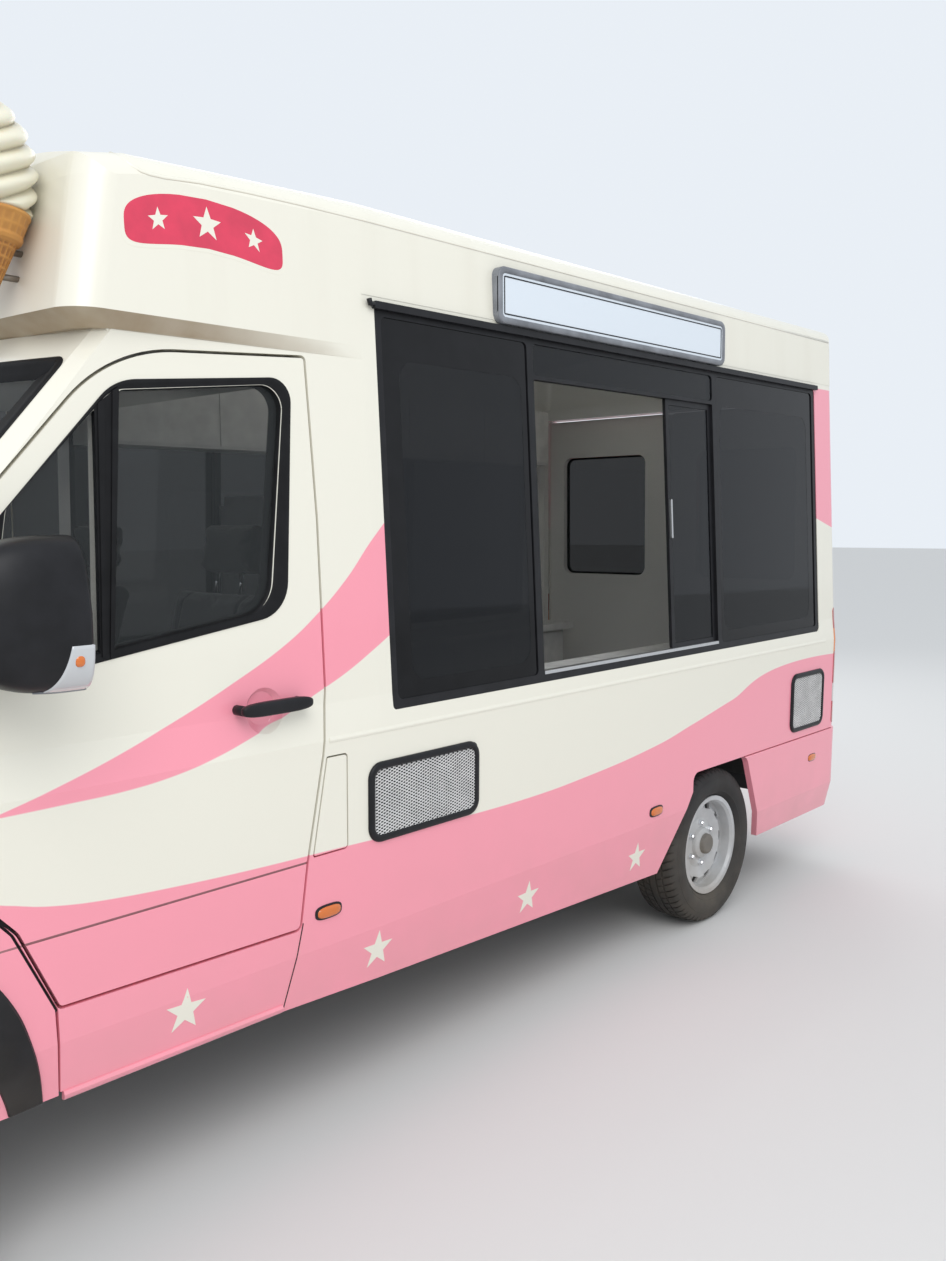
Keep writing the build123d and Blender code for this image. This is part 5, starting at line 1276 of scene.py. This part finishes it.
class VAN_OT_door_fittings(bpy.types.Operator):
    """Mirrors with their arms and lamps, and the door handles"""

    bl_idname = "van.door_fittings"
    bl_label = "Door fittings"

    # Housing of the mirror: x of its rim, length, half width, half height, y and z of its middle
    RIM_X = 1.385
    LENGTH = 0.235
    HALF_WIDTH = 0.106
    HALF_HEIGHT = 0.170
    MIDDLE_Y = 1.103
    MIDDLE_Z = 1.618
    # Powers of its slices and of the law by which they shrink, and how much narrower it is above the middle
    SLICE_POWER = 0.55
    AHEAD_POWER = 3.2
    SHRINK_POWER = 2.6
    NARROWER = 0.22
    # Panes: height of the middle, half height; half width and power of both
    PANES = ((1.660, 0.096), (1.510, 0.038))
    PANE_HALF_WIDTH = 0.080
    PANE_POWER = 0.4

    def skin(self, share, angle, tight=1.0, grow=0.0):
        """Points on the housing, from the share of the way forward and the angle round it. Each upright slice
        is a superellipse, less wide above the middle on the outer side, and its half sizes shrink by a
        rounded law towards the front."""
        shrink = np.maximum(1 - share**self.AHEAD_POWER, 0) ** (1 / self.SHRINK_POWER) * tight
        rise = super_power(np.sin(angle), self.SLICE_POWER)
        out = super_power(np.cos(angle), self.SLICE_POWER)
        width = (self.HALF_WIDTH * shrink + grow) * (1 - self.NARROWER * np.clip(rise, 0, 1) * (out > 0))
        height = self.HALF_HEIGHT * (0.25 + 0.75 * shrink) * (shrink > 0) + grow
        y = self.MIDDLE_Y + 0.004 * share + width * out
        z = self.MIDDLE_Z + height * rise
        return np.stack([self.RIM_X + self.LENGTH * share + 0 * y, y, z], axis=-1)

    def housing(self):
        """Slices from the rim by the glass, which turns in, to the front."""
        share = np.concatenate([[0.10, 0.02, 0.0, 0.0], np.linspace(0.03, 1, 26)])[:, None]
        tight = np.concatenate([[0.82, 0.84, 0.90, 0.975], np.ones(26)])[:, None]
        points = self.skin(share, np.linspace(0, tau, 64, endpoint=False), tight)
        faces = grid_faces(len(share), 64, False, True).tolist() + [list(range(64))]
        return points.reshape(-1, 3), faces

    def lamp(self, low, high, reach, grow, depth):
        """A curved plate that follows the housing between two angles, as far forward as reach at each."""
        angle = np.radians(np.linspace(low, high, 25))
        share = np.linspace(0, 1, 13)[:, None] * np.linspace(*reach, 25)
        return shell(*(self.skin(share, angle, grow=extra) - (0.001, 0, 0) for extra in (grow, grow - depth)))

    def glass(self):
        """The mirror's pane, and a smaller wide-angle pane below it, slightly domed."""
        angle = np.linspace(0, tau, 64, endpoint=False)
        shares = np.array((0.0, 0.5, 0.95, 1.0, 1.0, 0.0))[:, None]
        depths = np.array((1.4000, 1.4005, 1.4012, 1.4025, 1.409, 1.409))[:, None]
        y = self.MIDDLE_Y + shares * self.PANE_HALF_WIDTH * super_power(np.cos(angle), self.PANE_POWER)
        panes = []
        for middle_z, half_z in self.PANES:
            z = middle_z + shares * half_z * super_power(np.sin(angle), self.PANE_POWER)
            points = np.stack([depths + 0 * y, y, z], axis=-1).reshape(-1, 3)
            panes.append((points, grid_faces(len(shares), 64, False, True)))
        return panes

    def execute(self, context):
        arms = [
            tube([(1.530, 1.060, 1.480), (1.545, 1.010, 1.472), (1.580, 0.945, 1.470)], 0.021, 20),
            tube([(1.530, 1.060, 1.600), (1.545, 1.010, 1.600), (1.575, 0.940, 1.600)], 0.021, 20),
            pillow((1.585, 0.943, 1.535), (0.040, 0.012, 0.102), 0.5, 0.5, 40, 21),
        ]
        bar = pillow((0.7475, 1.016, 1.312), (0.119, 0.014, 0.020), 0.45, 0.6, 64, 21)
        feet = [tube([(x, 0.950, 1.311), (x, 1.014, 1.311)], 0.014, 16) for x in (0.650, 0.848)]
        lamp = self.lamp(-70, -10, (0.42, 0.22), 0.0022, 0.006)
        bulb = pillow((1.418, 1.204, 1.520), (0.012, 0.008, 0.013), 0.8, 0.8, 24, 11)
        line = self.lamp(-75, -69, (0.50, 0.44), 0.0030, 0.006)
        rows = (
            ("mirror_housing", [self.housing(), *arms], "black_plastic", "black_plastic"),
            ("mirror_panes", self.glass(), "mirror", "clear_glass"),
            ("mirror_lamp", [lamp], "clear_lens", "clear_glass"),
            ("mirror_bulb", [bulb], "amber", "red_lens"),
            ("mirror_line", [line], "grey_rim", "black_plastic"),
            ("door_handle", [bar, *feet], "black_plastic", "black_plastic"),
        )
        for name, parts, finish, slot in rows:
            for side, word in SIDES:
                made = parts if side == 1 else [mirrored(part) for part in parts]
                replaced = (f"door_{word}_fittings",) if name == "mirror_housing" else ()
                make(f"{name}_{word}", made, finish, f"door_{word}", replaced=replaced)
        return {"FINISHED"}


class VAN_OT_pod_trim(bpy.types.Operator):
    """Ledge along the pod's side, and a plain red badge with stars"""

    bl_idname = "van.pod_trim"
    bl_label = "Pod trim"

    # The ledge's line in x and z: it starts on the front shoulder and runs to the tail
    LEDGE = ((1.092, 2.716), (1.080, 2.696), (1.066, 2.678), (1.048, 2.669), (1.026, 2.666), (0.984, 2.667),
             (0.881, 2.678), (0.724, 2.685), (0.554, 2.689), (0.30, 2.691), (-0.5, 2.692), (-1.5, 2.692),
             (-2.2, 2.692), (-2.86, 2.692))
    SECTION = ((-0.007, -0.004), (-0.006, 0.0004), (-0.002, 0.0026), (0.002, 0.0026), (0.006, 0.0004),
               (0.007, -0.004))
    # Badge: its middle, how far it bends down for each square metre sideways, and its stars: x, size
    BADGE_X = 0.866
    BADGE_Z = 2.575
    BADGE_BEND = 0.7
    BADGE_STARS = ((-0.145, 0.030), (0.0, 0.044), (0.145, 0.030))
    STAR_INNER = 0.42

    def lifted(self, x, z, side, lift):
        """Points on the pod's side."""
        return np.stack([x, side * (pod_y(x, z) + lift), z + 0 * x], axis=-1)

    def ledge(self, side):
        """The section carried along the line, on the pod's surface."""
        path = self.lifted(*np.array(self.LEDGE).T, side, 0.0)
        return capped(carried(np.array(self.SECTION) * (side, 1), path, (0.0, side, 0.4), False))

    def plate(self, outline, lift, side):
        """A thin plate on the pod: outline shrunk to its middle in rings, front and back, and bent down with
        the square of the distance sideways."""
        across, up = np.moveaxis(spread_out(outline, (0.02, 1.0, 1.0, 0.5, 0.02)), -1, 0)
        lifts = np.array((-0.002, -0.002, lift, lift, lift))[:, None]
        z = self.BADGE_Z + up - self.BADGE_BEND * across**2
        return capped(self.lifted(self.BADGE_X + across, z, side, lifts))

    def execute(self, context):
        make("pod_ledge", [self.ledge(side) for side in BOTH], "pod")
        angle = np.linspace(0, tau, 96, endpoint=False)
        oval = np.stack([super_power(np.cos(angle), 0.40), super_power(np.sin(angle), 0.55)], axis=-1)
        stars = [star(self.STAR_INNER) * size + (x, 0.0) for x, size in self.BADGE_STARS]
        rows = (
            ("badge_edge", [oval * (0.250, 0.072)], 0.0003, "star"),
            ("badge_ground", [oval * (0.240, 0.062)], 0.0006, "emblem"),
            ("badge_stars", stars, 0.0010, "star"),
        )
        for name, outlines, lift, finish in rows:
            parts = [self.plate(outline, lift, side) for outline in outlines for side in BOTH]
            make(name, parts, finish, smooth=False)
        return {"FINISHED"}


class VAN_OT_hatch_trim(bpy.types.Operator):
    """Black edges printed on the hatch glass, on both sides"""

    bl_idname = "van.hatch_trim"
    bl_label = "Hatch trim"

    # Panes: low x, high x, low z, high z, then the widths of the black edge at each of those
    PANES = (
        (-0.428, 0.262, 1.266, 2.420, 0.033, 0.071, 0.050, 0.122),
        (-2.662, -1.722, 1.266, 2.420, 0.060, 0.033, 0.050, 0.122),
    )
    ROWS = ((0, -0.0084), (0, -0.0076), (1, -0.0076), (1, -0.0084))
    # Grip of the sliding sash and the rail below it: low x, high x, low z, high z
    GRIP = (-1.348, -1.338, 1.730, 1.890)
    GRIP_RADIUS = 0.004
    RAIL = (-1.690, -0.462, 1.264, 1.276)
    HOOK = ((0.300, 0.944, 2.449), (0.316, 0.946, 2.449), (0.322, 0.948, 2.462))

    def execute(self, context):
        edges = []
        for *box, low_x, high_x, low_z, high_z in self.PANES:
            outer = box_corners(box, 0.020)
            inner = box_corners(np.add(box, (low_x, -high_x, low_z, -high_z)), 0.060)
            edges += [ring_between(outer, inner, self.ROWS, side) for side in BOTH]
        metal = [plate_on_side(box_corners(self.GRIP, self.GRIP_RADIUS), 1, -0.004, 0.014),
                 plate_on_side(box_corners(self.RAIL, 0), 1, -0.002, 0.026)]
        hook = tube(self.HOOK, 0.008, 12)
        make("hatch_glass_edges", edges, "frit", smooth=False)
        make("hatch_metal", metal, "steel", smooth=False)
        make("rail_hooks", [hook, mirrored(hook)], "black_plastic")
        return {"FINISHED"}


class VAN_OT_wheel_trim(bpy.types.Operator):
    """Wheel bolts and centre caps, and the liners of the front arches"""

    bl_idname = "van.wheel_trim"
    bl_label = "Wheel trim"

    BOLTS = 6
    BOLT_CIRCLE = 0.092
    FACE_Y = 0.888
    # Profiles: distance outwards along the axle, radius
    BOLT = ((-0.006, 0.0), (-0.006, 0.0135), (0.002, 0.0135), (0.003, 0.0115), (0.014, 0.0110),
            (0.018, 0.0085), (0.019, 0.0))
    CAP = ((0.046, 0.0), (0.047, 0.030), (0.0475, 0.034), (0.045, 0.040), (0.040, 0.044), (0.026, 0.046),
           (0.022, 0.052), (0.016, 0.052), (0.016, 0.0))
    # Liner's section: y, radius round the axle
    LINER = ((0.700, 0.452), (0.905, 0.452), (0.905, 0.458), (0.700, 0.458))

    def liner(self, side):
        """Upper part of a round tunnel over the front wheel, with a thin wall."""
        angle = np.linspace(radians(24), radians(148), 40)[:, None]
        y, radius = np.array(self.LINER).T
        x = FRONT_AXLE_X + radius * np.cos(angle)
        z = TYRE_RADIUS + radius * np.sin(angle)
        return capped(np.stack([x, side * y + 0 * x, z], axis=-1))

    def execute(self, context):
        for name, axle_x, side in WHEELS:
            centre = np.array((axle_x, side * self.FACE_Y, TYRE_RADIUS))
            axis = (0.0, side * 1.0, 0.0)
            bolts = []
            for turn in tau * (np.arange(self.BOLTS) + 0.5) / self.BOLTS:
                out = np.array((cos(turn), 0, sin(turn))) * self.BOLT_CIRCLE
                bolts.append(turned(self.BOLT, centre + out, axis, 6))
            cap = turned(self.CAP, centre, axis, 48)
            make(f"wheel_bolts_{name}", bolts, "chrome", f"wheel_{name}", smooth=False)
            make(f"wheel_cap_{name}", [cap], "cast", f"wheel_{name}")
        for side, word in SIDES:
            make(f"arch_liner_{word}", [self.liner(side)], "liner", smooth=False)
        return {"FINISHED"}


class VAN_OT_body_trim(bpy.types.Operator):
    """Black edges of the front arches, lips along the sills, and the seams round the door's foot"""

    bl_idname = "van.body_trim"
    bl_label = "Body trim"

    # Outer edge of the arch trim, from the rear foot over the wheel to the front: x and z
    ARCH = ((1.424, 0.443), (1.428, 0.500), (1.438, 0.555), (1.4705, 0.6716), (1.518, 0.7598), (1.590, 0.840),
            (1.690, 0.900), (1.810, 0.930), (1.9485, 0.935), (2.090, 0.920), (2.220, 0.870), (2.310, 0.790),
            (2.360, 0.700), (2.374, 0.620))
    ARCH_RADIUS = 0.449
    # Half width of the wing ahead of the door: x, y
    WING = ((1.708, 0.9625), (1.950, 0.9640), (2.050, 0.9625), (2.200, 0.9560), (2.300, 0.9485),
            (2.380, 0.9380))
    # Section of the arch trim: share from the outer edge to the opening, lift
    ARCH_ROWS = ((0.0, -0.003), (0.0, 0.004), (0.05, 0.010), (0.55, 0.0125), (0.97, 0.0135), (1.0, 0.009),
                 (1.0, -0.060), (0.96, -0.060), (0.94, -0.003))
    LIP_SECTION = ((-0.012, -0.006), (-0.012, 0.003), (-0.006, 0.008), (0.004, 0.009), (0.011, 0.004),
                   (0.012, -0.006))
    SEAM = ((1.3850, 0.655), (1.4050, 0.702), (1.4450, 0.790), (1.4810, 0.872), (1.5100, 0.915),
            (1.6000, 1.028), (1.6650, 1.103), (1.6950, 1.145), (1.7040, 1.190), (1.7040, 1.250))
    SEAL_SECTION = ((-0.006, -0.016), (-0.006, -0.006), (0.006, -0.006), (0.006, -0.016))
    FOOT_SEAM = ((0.651, 0.668), (0.713, 0.426))
    SEAM_SECTION = ((-0.0015, -0.003), (-0.0015, 0.0012), (0.0015, 0.0012), (0.0015, -0.003))
    # Lip and swage: both ends in x and z
    LIP = ((0.717, 0.43150), (1.372, 0.43674))
    SWAGE = ((-2.755, 1.185), (0.548, 1.185))
    SWAGE_SECTION = ((-0.009, -0.002), (-0.008, 0.0003), (-0.003, 0.0026), (0.001, 0.0028), (0.004, 0.0010),
                     (0.008, 0.0002), (0.009, -0.002))

    def wing_y(self, x, z):
        """Half width over the front wheel: the side behind the door's front, then a table along x."""
        ahead = np.interp(x, *np.array(self.WING).T)
        return np.where(x < self.WING[0][0], side_y(x, z), ahead)

    def arch(self, side, count=80):
        """Strip between a smooth outer line and a circle round the axle, with the rows of the section."""
        line = np.array(self.ARCH)
        length = distances(line)
        at = np.linspace(0, length[-1], count)
        outer = np.stack([np.interp(at, length, column) for column in line.T], axis=-1)
        for _ in range(6):
            outer[1:-1] = (outer[:-2] + 2 * outer[1:-1] + outer[2:]) / 4
        first, last = np.arcsin((line[(0, -1), 1] - TYRE_RADIUS) / self.ARCH_RADIUS)
        angle = np.linspace(pi - first, last, count)
        circle = np.stack([np.cos(angle), np.sin(angle)], axis=-1) * self.ARCH_RADIUS
        inner = (FRONT_AXLE_X, TYRE_RADIUS) + circle
        share, lift = np.array(self.ARCH_ROWS).T
        x, z = np.moveaxis(outer[:, None] + (inner - outer)[:, None] * share[:, None], -1, 0)
        return capped(np.stack([x, side * (self.wing_y(x, z) + lift), z], axis=-1))

    def along_side(self, line, section, side):
        """A section carried along an open line on the body's side."""
        path = on_side(*np.array(line).T, side)
        return capped(carried(np.array(section) * (side, 1), path, side_normals(path, side), False))

    def execute(self, context):
        make("arch_edges", [self.arch(side) for side in BOTH], "black_plastic", edge=40)
        rows = (
            ("sill_lips", np.linspace(*self.LIP, 12), self.LIP_SECTION, "paint", "body_paint"),
            ("side_swages", np.linspace(*self.SWAGE, 60), self.SWAGE_SECTION, "paint", "body_paint"),
            ("door_seals", self.SEAM, self.SEAL_SECTION, "rubber", "black_plastic"),
            ("sill_seams", np.linspace(*self.FOOT_SEAM, 24), self.SEAM_SECTION, "rubber", "body_paint"),
        )
        for name, line, section, finish, slot in rows:
            make(name, [self.along_side(line, section, side) for side in BOTH], finish, edge=40)
        return {"FINISHED"}


class VAN_OT_seats(bpy.types.Operator):
    """Padded seats: each pad is blown up as cloth from the CAD pad, then sewn"""

    bl_idname = "van.seats"
    bl_label = "Seats"

    SEAT_Y = 0.43
    VOXEL = 0.010
    SHRINK = 0.007
    MOST = 0.016
    # Sewn channels: from the seat's middle line sideways, and across it at heights of the back and an x of
    # the cushion; the back's lie under the top, and the cushion's lies under the back
    SIDE_SEAM = 0.150
    BACK_SEAMS = (1.180, 1.400)
    BACK_TOP = 1.62
    CUSHION_SEAM = 0.780
    CUSHION_TOP = 1.06
    SEAM_WIDTH = 0.006
    SEAM_DEPTH = 0.007
    # Blowing up: pressure and frames
    PRESSURE = 4.0
    FRAMES = 20
    FILL = 0.85

    def pad(self):
        """The left half of the CAD pads, with doubles merged, remeshed and drawn in a little."""
        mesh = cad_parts["seat_pads"].data.copy()
        work = bmesh.new()
        work.from_mesh(mesh)
        bmesh.ops.remove_doubles(work, verts=work.verts, dist=0.0001)
        right_half = [vert for vert in work.verts if vert.co.y < 0]
        bmesh.ops.delete(work, geom=right_half, context="VERTS")
        work.to_mesh(mesh)
        work.free()
        piece = bpy.data.objects.new("seat_left", mesh)
        bpy.context.scene.collection.objects.link(piece)
        remesh = piece.modifiers.new("remesh", "REMESH")
        remesh.mode = "VOXEL"
        remesh.voxel_size = self.VOXEL
        self.apply(piece)
        points, normals = self.read(piece)
        self.write(piece, points - normals * self.SHRINK)
        return piece

    def apply(self, piece):
        """Puts the result of a piece's modifiers into its mesh."""
        graph = bpy.context.evaluated_depsgraph_get()
        made = bpy.data.meshes.new_from_object(piece.evaluated_get(graph))
        piece.modifiers.clear()
        piece.data = made

    def read(self, piece):
        """Points and outward directions of a mesh as arrays."""
        count = len(piece.data.vertices)
        points, normals = np.empty(count * 3), np.empty(count * 3)
        piece.data.vertices.foreach_get("co", points)
        piece.data.vertices.foreach_get("normal", normals)
        return points.reshape(-1, 3), normals.reshape(-1, 3)

    def write(self, piece, points):
        """Puts moved points back into a mesh."""
        piece.data.vertices.foreach_set("co", np.asarray(points, float).ravel())
        piece.data.update()

    def inflate(self, piece):
        """Cloth under pressure for some frames, with each point's move capped."""
        before, _ = self.read(piece)
        cloth = piece.modifiers.new("padding", "CLOTH")
        cloth.settings.use_pressure = True
        cloth.settings.uniform_pressure_force = self.PRESSURE
        cloth.settings.effector_weights.gravity = 0.0
        cloth.point_cache.frame_start = 1
        cloth.point_cache.frame_end = self.FRAMES
        for number in range(1, self.FRAMES + 1):
            bpy.context.scene.frame_set(number)
        self.apply(piece)
        bpy.context.scene.frame_set(1)
        after, _ = self.read(piece)
        move = after - before
        far = np.linalg.norm(move, axis=1)[:, None]
        self.write(piece, before + move * np.minimum(1, self.MOST / np.maximum(far, 1e-9)))

    def groove(self, distance):
        """How deep a channel is at a distance from its seam: exp(-(distance / width)^2)."""
        return np.exp(-((distance / self.SEAM_WIDTH) ** 2))

    def sew(self, piece):
        """Channels pressed in along the seams, inwards."""
        points, normals = self.read(piece)
        x, y, z = points.T
        aside = np.abs(y - self.SEAT_Y) - self.SIDE_SEAM
        depth = self.groove(aside) * (z < self.BACK_TOP)
        for height in self.BACK_SEAMS:
            depth = np.maximum(depth, self.groove(z - height) * (aside < 0))
        across = self.groove(x - self.CUSHION_SEAM) * (aside < 0) * (z < self.CUSHION_TOP)
        depth = np.maximum(depth, across)
        self.write(piece, points - normals * (depth * self.SEAM_DEPTH)[:, None])

    def execute(self, context):
        rods = []
        for y in (self.SEAT_Y - 0.065, self.SEAT_Y + 0.065):
            rods.append(tube([(0.486, y, 1.570), (0.462, y, 1.680)], 0.006, 16))
        rods += [mirrored(part) for part in rods]
        make("headrest_rods", rods, "chrome")
        left = self.pad()
        self.inflate(left)
        left.modifiers.new("finer", "SUBSURF").levels = 1
        self.apply(left)
        self.sew(left)
        points, _ = self.read(left)
        faces = np.empty(len(left.data.loops), np.int64)
        left.data.loops.foreach_get("vertex_index", faces)
        faces = faces.reshape(-1, 4)[:, ::-1].tolist()
        right = add_mesh("seat_right", points * (1, -1, 1), faces, MATERIALS["cloth"])
        left.data.materials.clear()
        left.data.materials.append(MATERIALS["cloth"])
        left.data.shade_smooth()
        for piece in (left, right):
            place(piece, "root", ("seat_pads",))
        return {"FINISHED"}


class VAN_OT_end_trim(bpy.types.Operator):
    """Blank number plates, the panel behind the grille, and the rear doors' window rubbers and handle"""

    bl_idname = "van.end_trim"
    bl_label = "End trim"

    # Rounded rectangles across the van: low y, high y, low z, high z, radius
    REAR_WINDOW = (0.170, 0.760, 1.480, 2.180, 0.050)
    REAR_PLATE = (-0.260, 0.260, 0.5045, 0.6155, 0.006)
    FRONT_PLATE = (-0.260, 0.260, 0.5455, 0.6565, 0.006)
    PLINTH = (-0.275, 0.275, 0.535, 0.667, 0.015)
    RADIATOR = (-0.455, 0.455, 0.600, 1.000, 0.020)
    # Their sections: growth of the rectangle, x
    RUBBER = ((-0.010, -2.909), (-0.010, -2.9215), (-0.004, -2.9245), (0.010, -2.9245), (0.016, -2.9215),
              (0.016, -2.917))

    HANDLE_AT = (-2.926, 0.070, 1.230)
    HANDLE_HALF = (0.022, 0.040, 0.096)

    # Slabs: growth of the rectangle, x
    REAR_PLATE_ROWS = ((0, -2.950), (0, -2.9526), (-0.0005, -2.9527))
    FRONT_PLATE_ROWS = ((0, 2.947), (0, 2.9500), (-0.001, 2.9510))
    PLINTH_ROWS = ((0, 2.900), (0, 2.9455), (-0.004, 2.9485))
    RADIATOR_ROWS = ((0, 2.690), (0, 2.694), (-0.002, 2.696))

    def loops(self, box, rows):
        """A rounded rectangle across the van, once for each row of growth and x."""
        *sizes, radius = box
        found = []
        for grow, x in rows:
            flat = rounded_outline(box_corners(sizes, radius + grow, grow))
            found.append(np.column_stack([np.full(len(flat), x), flat]))
        return np.array(found)

    def execute(self, context):
        window = looped(self.loops(self.REAR_WINDOW, self.RUBBER))
        rear_plate = capped(self.loops(self.REAR_PLATE, self.REAR_PLATE_ROWS))
        handle = pillow(self.HANDLE_AT, self.HANDLE_HALF, 0.3, 0.3, 40, 25)
        plinth = capped(self.loops(self.PLINTH, self.PLINTH_ROWS))
        front_plate = capped(self.loops(self.FRONT_PLATE, self.FRONT_PLATE_ROWS))
        radiator = capped(self.loops(self.RADIATOR, self.RADIATOR_ROWS))
        rows = (
            ("rear_rubber_left", window, "rubber", "black_plastic", "rear_door_left"),
            ("rear_rubber_right", mirrored(window), "rubber", "black_plastic", "rear_door_right"),
            ("rear_plate", rear_plate, "yellow_plate", "sign_face", "root"),
            ("rear_handle", handle, "black_plastic", "black_plastic", "rear_door_left"),
            ("plate_plinth", plinth, "black_plastic", "black_plastic", "root"),
            ("front_plate", front_plate, "white_plate", "sign_face", "root"),
            ("radiator_panel", radiator, "liner", "black_plastic", "root"),
        )
        for name, part, finish, slot, body in rows:
            make(name, [part], finish, body, edge=40)
        return {"FINISHED"}


class VAN_OT_load_space(bpy.types.Operator):
    """Strip lamps on the ceiling over the serving place"""

    bl_idname = "van.load_space"
    bl_label = "Load space"

    # Ends in x of the strips, and the place in y and z of their middles and of their end caps
    STRIPS = ((-2.30, -1.25), (-0.95, 0.10))
    STRIP_Y = 0.10
    STRIP_Z = 2.762
    END_Z = 2.760

    def execute(self, context):
        strips, ends = [], []
        for low_x, high_x in self.STRIPS:
            middle = ((low_x + high_x) / 2, self.STRIP_Y, self.STRIP_Z)
            strips.append(pillow(middle, ((high_x - low_x) / 2, 0.030, 0.016), 0.2, 0.8, 48, 13))
            for x in (low_x, high_x):
                ends.append(pillow((x, self.STRIP_Y, self.END_Z), (0.020, 0.036, 0.020), 0.4, 0.5, 24, 11))
        make("ceiling_strips", strips, "lamp")
        make("strip_ends", ends, "laminate")
        return {"FINISHED"}


class VAN_OT_stage(bpy.types.Operator):
    """Pale floor, soft light and the camera"""

    bl_idname = "van.stage"
    bl_label = "Stage"

    FLOOR_SIZE = 60.0
    # Lamps: name, place, size, power
    LAMPS = (("key light", (5.0, 7.0, 8.5), 7.0, 520.0), ("back light", (-7.0, -5.0, 6.0), 6.0, 160.0))
    AIM = (0.0, 0.0, 1.2)

    def execute(self, context):
        scene = context.scene
        scene.view_settings.view_transform = "Standard"
        finish = plain("stage floor", (0.74, 0.73, 0.71), 0.9, Specular_IOR_Level=0.1)
        size = self.FLOOR_SIZE
        corners = [(-size, -size, 0), (size, -size, 0), (size, size, 0), (-size, size, 0)]
        floor = add_mesh("stage_floor", corners, [(0, 1, 2, 3)], finish, False)
        self.world(scene)
        self.lights()
        self.camera(scene)
        return {"FINISHED"}

    def world(self, scene):
        """Plain pale surroundings, seen by the camera and in gloss a little brighter than they light."""
        world = bpy.data.worlds.new("studio")
        world.use_nodes = True
        scene.world = world
        nodes = Nodes(world.node_tree)
        path = nodes.add("ShaderNodeLightPath").outputs
        seen = nodes.maths("MAXIMUM", path["Is Camera Ray"], path["Is Transmission Ray"])
        seen = nodes.maths("MAXIMUM", seen, path["Is Glossy Ray"])
        back = world.node_tree.nodes["Background"]
        back.inputs["Color"].default_value = (0.86, 0.91, 0.97, 1)
        nodes.put(nodes.ramp(seen, 0.0, 1.0, 0.92, 0.95), back.inputs["Strength"])

    def lights(self):
        """A broad lamp high on the left front and a weak one behind."""
        for name, where, size, power in self.LAMPS:
            lamp = bpy.data.lights.new(name, "AREA")
            lamp.energy = power
            lamp.size = size
            piece = bpy.data.objects.new(name, lamp)
            turn = (Vector(self.AIM) - Vector(where)).to_track_quat("-Z", "Y").to_matrix().to_4x4()
            piece.matrix_world = Matrix.Translation(where) @ turn
            bpy.context.scene.collection.objects.link(piece)

    def camera(self, scene):
        """The camera where the photograph was taken from: place, heading, tilt, roll and lens."""
        yaw, pitch, roll = (radians(a) for a in (CAMERA_YAW, CAMERA_PITCH, CAMERA_ROLL))
        ahead = Vector((cos(yaw) * cos(pitch), sin(yaw) * cos(pitch), sin(pitch)))
        right = Vector((sin(yaw), -cos(yaw), 0))
        up = right.cross(ahead)
        tilted_right = cos(roll) * right + sin(roll) * up
        tilted_up = -sin(roll) * right + cos(roll) * up
        lens = bpy.data.cameras.new("photo camera")
        lens.sensor_fit = "VERTICAL"
        lens.sensor_height = 36.0
        lens.lens = CAMERA_LENS
        lens.clip_end = 200.0
        camera = bpy.data.objects.new("photo camera", lens)
        turn = Matrix((tilted_right, tilted_up, -ahead)).transposed()
        camera.matrix_world = Matrix.Translation(CAMERA_AT) @ turn.to_4x4()
        scene.collection.objects.link(camera)
        scene.camera = camera


OPERATORS = (
    VAN_OT_stage, VAN_OT_finishes, VAN_OT_window_rubber, VAN_OT_screen_rubber, VAN_OT_tyres, VAN_OT_cones,
    VAN_OT_side_vents, VAN_OT_signs, VAN_OT_stars, VAN_OT_side_lamps, VAN_OT_door_fittings, VAN_OT_pod_trim,
    VAN_OT_hatch_trim, VAN_OT_wheel_trim, VAN_OT_body_trim, VAN_OT_seats, VAN_OT_end_trim, VAN_OT_load_space,
)


class VAN_PT_looks(bpy.types.Panel):
    """Lists the van's operators and its sizes and colours"""

    bl_label = "Van"
    bl_idname = "VAN_PT_looks"
    bl_space_type = "VIEW_3D"
    bl_region_type = "UI"
    bl_category = "Van"

    def draw(self, context):
        for operator in OPERATORS:
            self.layout.operator(operator.bl_idname)
        for group in (context.scene.van_sizes, context.scene.van_colours):
            for name in group.__annotations__:
                self.layout.prop(group, name)


CLASSES = (VanSizes, VanColours, *OPERATORS, VAN_PT_looks)


def register():
    """Registers the add-on's classes and the settings on the scene."""
    for kind in CLASSES:
        bpy.utils.register_class(kind)
    bpy.types.Scene.van_sizes = bpy.props.PointerProperty(type=VanSizes)
    bpy.types.Scene.van_colours = bpy.props.PointerProperty(type=VanColours)


def unregister():
    """Takes back what register did."""
    del bpy.types.Scene.van_colours
    del bpy.types.Scene.van_sizes
    for kind in reversed(CLASSES):
        bpy.utils.unregister_class(kind)


def main():
    register()
    for operator in OPERATORS:
        group, name = operator.bl_idname.split(".")
        getattr(getattr(bpy.ops, group), name)()


if __name__ == "__main__":
    main()
